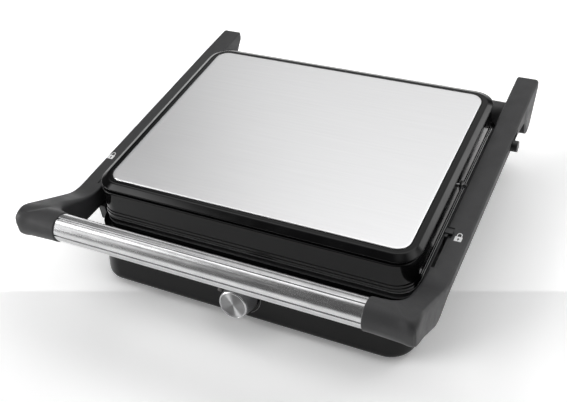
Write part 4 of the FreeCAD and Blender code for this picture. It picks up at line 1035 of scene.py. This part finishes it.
direction = sky_nodes.new("ShaderNodeTexCoord").outputs["Generated"]
split = sky_nodes.new("ShaderNodeSeparateXYZ")
sky_links.new(direction, split.inputs[0])
azimuth = sky_math("ARCTAN2", split.outputs["X"], split.outputs["Y"])
elevation = sky_math("ARCSINE", split.outputs["Z"])
AMBIENT = 0.1
PATCHES = (  # azimuth, half width, soft edge, elevation, half height, soft edge, strength
    (-1, 37, 6, 42, 18, 10, 0.93),  # behind: the steel plate
    (33, 9, 6, 30, 9, 6, 4.0),  # behind on the right: a line along the lid's right bevel
    (0, 80, 20, 64, 10, 6, 1.7),  # high behind: the crest of the bar and the tops of the arms
    (-55, 9, 5, 51, 9, 5, 2.1),  # behind on the left: the plate's lighter near corner
    (-103, 12, 7, 52, 6, 5, 5.0),  # left: the lid's front bevel and a band on the bar
    (-122, 17, 6, 33, 13, 8, 1.5),  # front left: the front of the bar
    (78, 34, 12, 44, 18, 8, 1.25),  # right: the knob and the right arm's side
    (-119, 16, 4, 14, 7, 3, 11.0),  # low in front on the left: the knob's bright fan and the cuff
    (0, 180, 5, 90, 8, 6, 0.7),  # straight above: the round corner of the lid's bevel
)
brightness = AMBIENT
for middle, half, soft_edge, high, half_tall, soft_tall, strength in PATCHES:
    patch = sky_math("MULTIPLY", sky_window(azimuth, middle, half, soft_edge),
                     sky_window(elevation, high, half_tall, soft_tall))
    brightness = sky_math("ADD", sky_math("MULTIPLY", patch, strength), brightness)
horizon = sky_window(elevation, -90, 97, 5)
brightness = sky_math("ADD", sky_math("MULTIPLY", horizon, 1 - AMBIENT), brightness)
sky_links.new(brightness, sky_nodes["Background"].inputs["Strength"])
sky_nodes["Background"].inputs["Color"].default_value = (1, 1, 1, 1)
print("the sky has", len(PATCHES), "soft patches")

# %% [markdown]
# The floor is a plain pale sheet. Behind the appliance it is pure white, and in front it is a shade
# darker, with a straight step where the two sheets meet: the step is where the dot product of a point
# with a level direction passes one value.
#
# Rays from the camera, from a mirror or through glass see a pale sheet, so it reads as a white
# background, in steel and lens too. All other rays, which carry light from the floor to the appliance,
# find a grey one, so a bright backdrop doesn't light the appliance from below. The shadow stays,
# because only the sheet's colour changes.

# %% Floor
floor_mesh = bpy.data.meshes.new("floor")
floor_mesh.from_pydata([(-12, -12, 0), (12, -12, 0), (12, 12, 0), (-12, 12, 0)], [], [(0, 1, 2, 3)])
floor = bpy.data.objects.new("floor", floor_mesh)
bpy.context.scene.collection.objects.link(floor)
floor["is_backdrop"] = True
sheet = Finish("floor_sheet", (0.95, 0.95, 0.95), 0.9)
across_seam = sheet.nodes.new("ShaderNodeVectorMath")
across_seam.operation = "DOT_PRODUCT"
across_seam.inputs[1].default_value = (-0.3405, 0.9402, 0)
sheet.links.new(sheet.where, across_seam.inputs[0])
behind_seam = sheet.span(across_seam.outputs["Value"], 0, 1, -0.0985, -0.0965)
seen_color = sheet.mix(behind_seam, (1.22, 1.22, 1.22), (1.46, 1.46, 1.46))
ray_kind = sheet.nodes.new("ShaderNodeLightPath")
seen = ray_kind.outputs["Is Camera Ray"]
for other in ("Is Glossy Ray", "Is Transmission Ray"):
    larger = sheet.nodes.new("ShaderNodeMath")
    larger.operation = "MAXIMUM"
    sheet.links.new(seen, larger.inputs[0])
    sheet.links.new(ray_kind.outputs[other], larger.inputs[1])
    seen = larger.outputs[0]
bounce = sheet.mix(seen, (0.5, 0.5, 0.5), (1, 1, 1))
sheet.links.new(seen_color, bounce.node.inputs["B"])
sheet.plug(bounce, "Base Color")
sheet.set("Specular IOR Level", 0.1)
floor_mesh.materials.append(FINISHES["floor_sheet"])
print("floor: seen at 1.22 in front and 1.46 behind, and lights the appliance as a grey of 0.5")

# %% [markdown]
# ## Sizes, and the end
#
# The boxes of the imported model and of the dressed appliance are both written down. The dressed
# appliance has to stay in the box of the imported model.

# %% Write the two boxes
seen_low, seen_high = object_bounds()
for label, size in (("packed", model_high - model_low), ("dressed", seen_high - seen_low)):
    print(label, "model:", [round(v, 4) for v in size], "m")
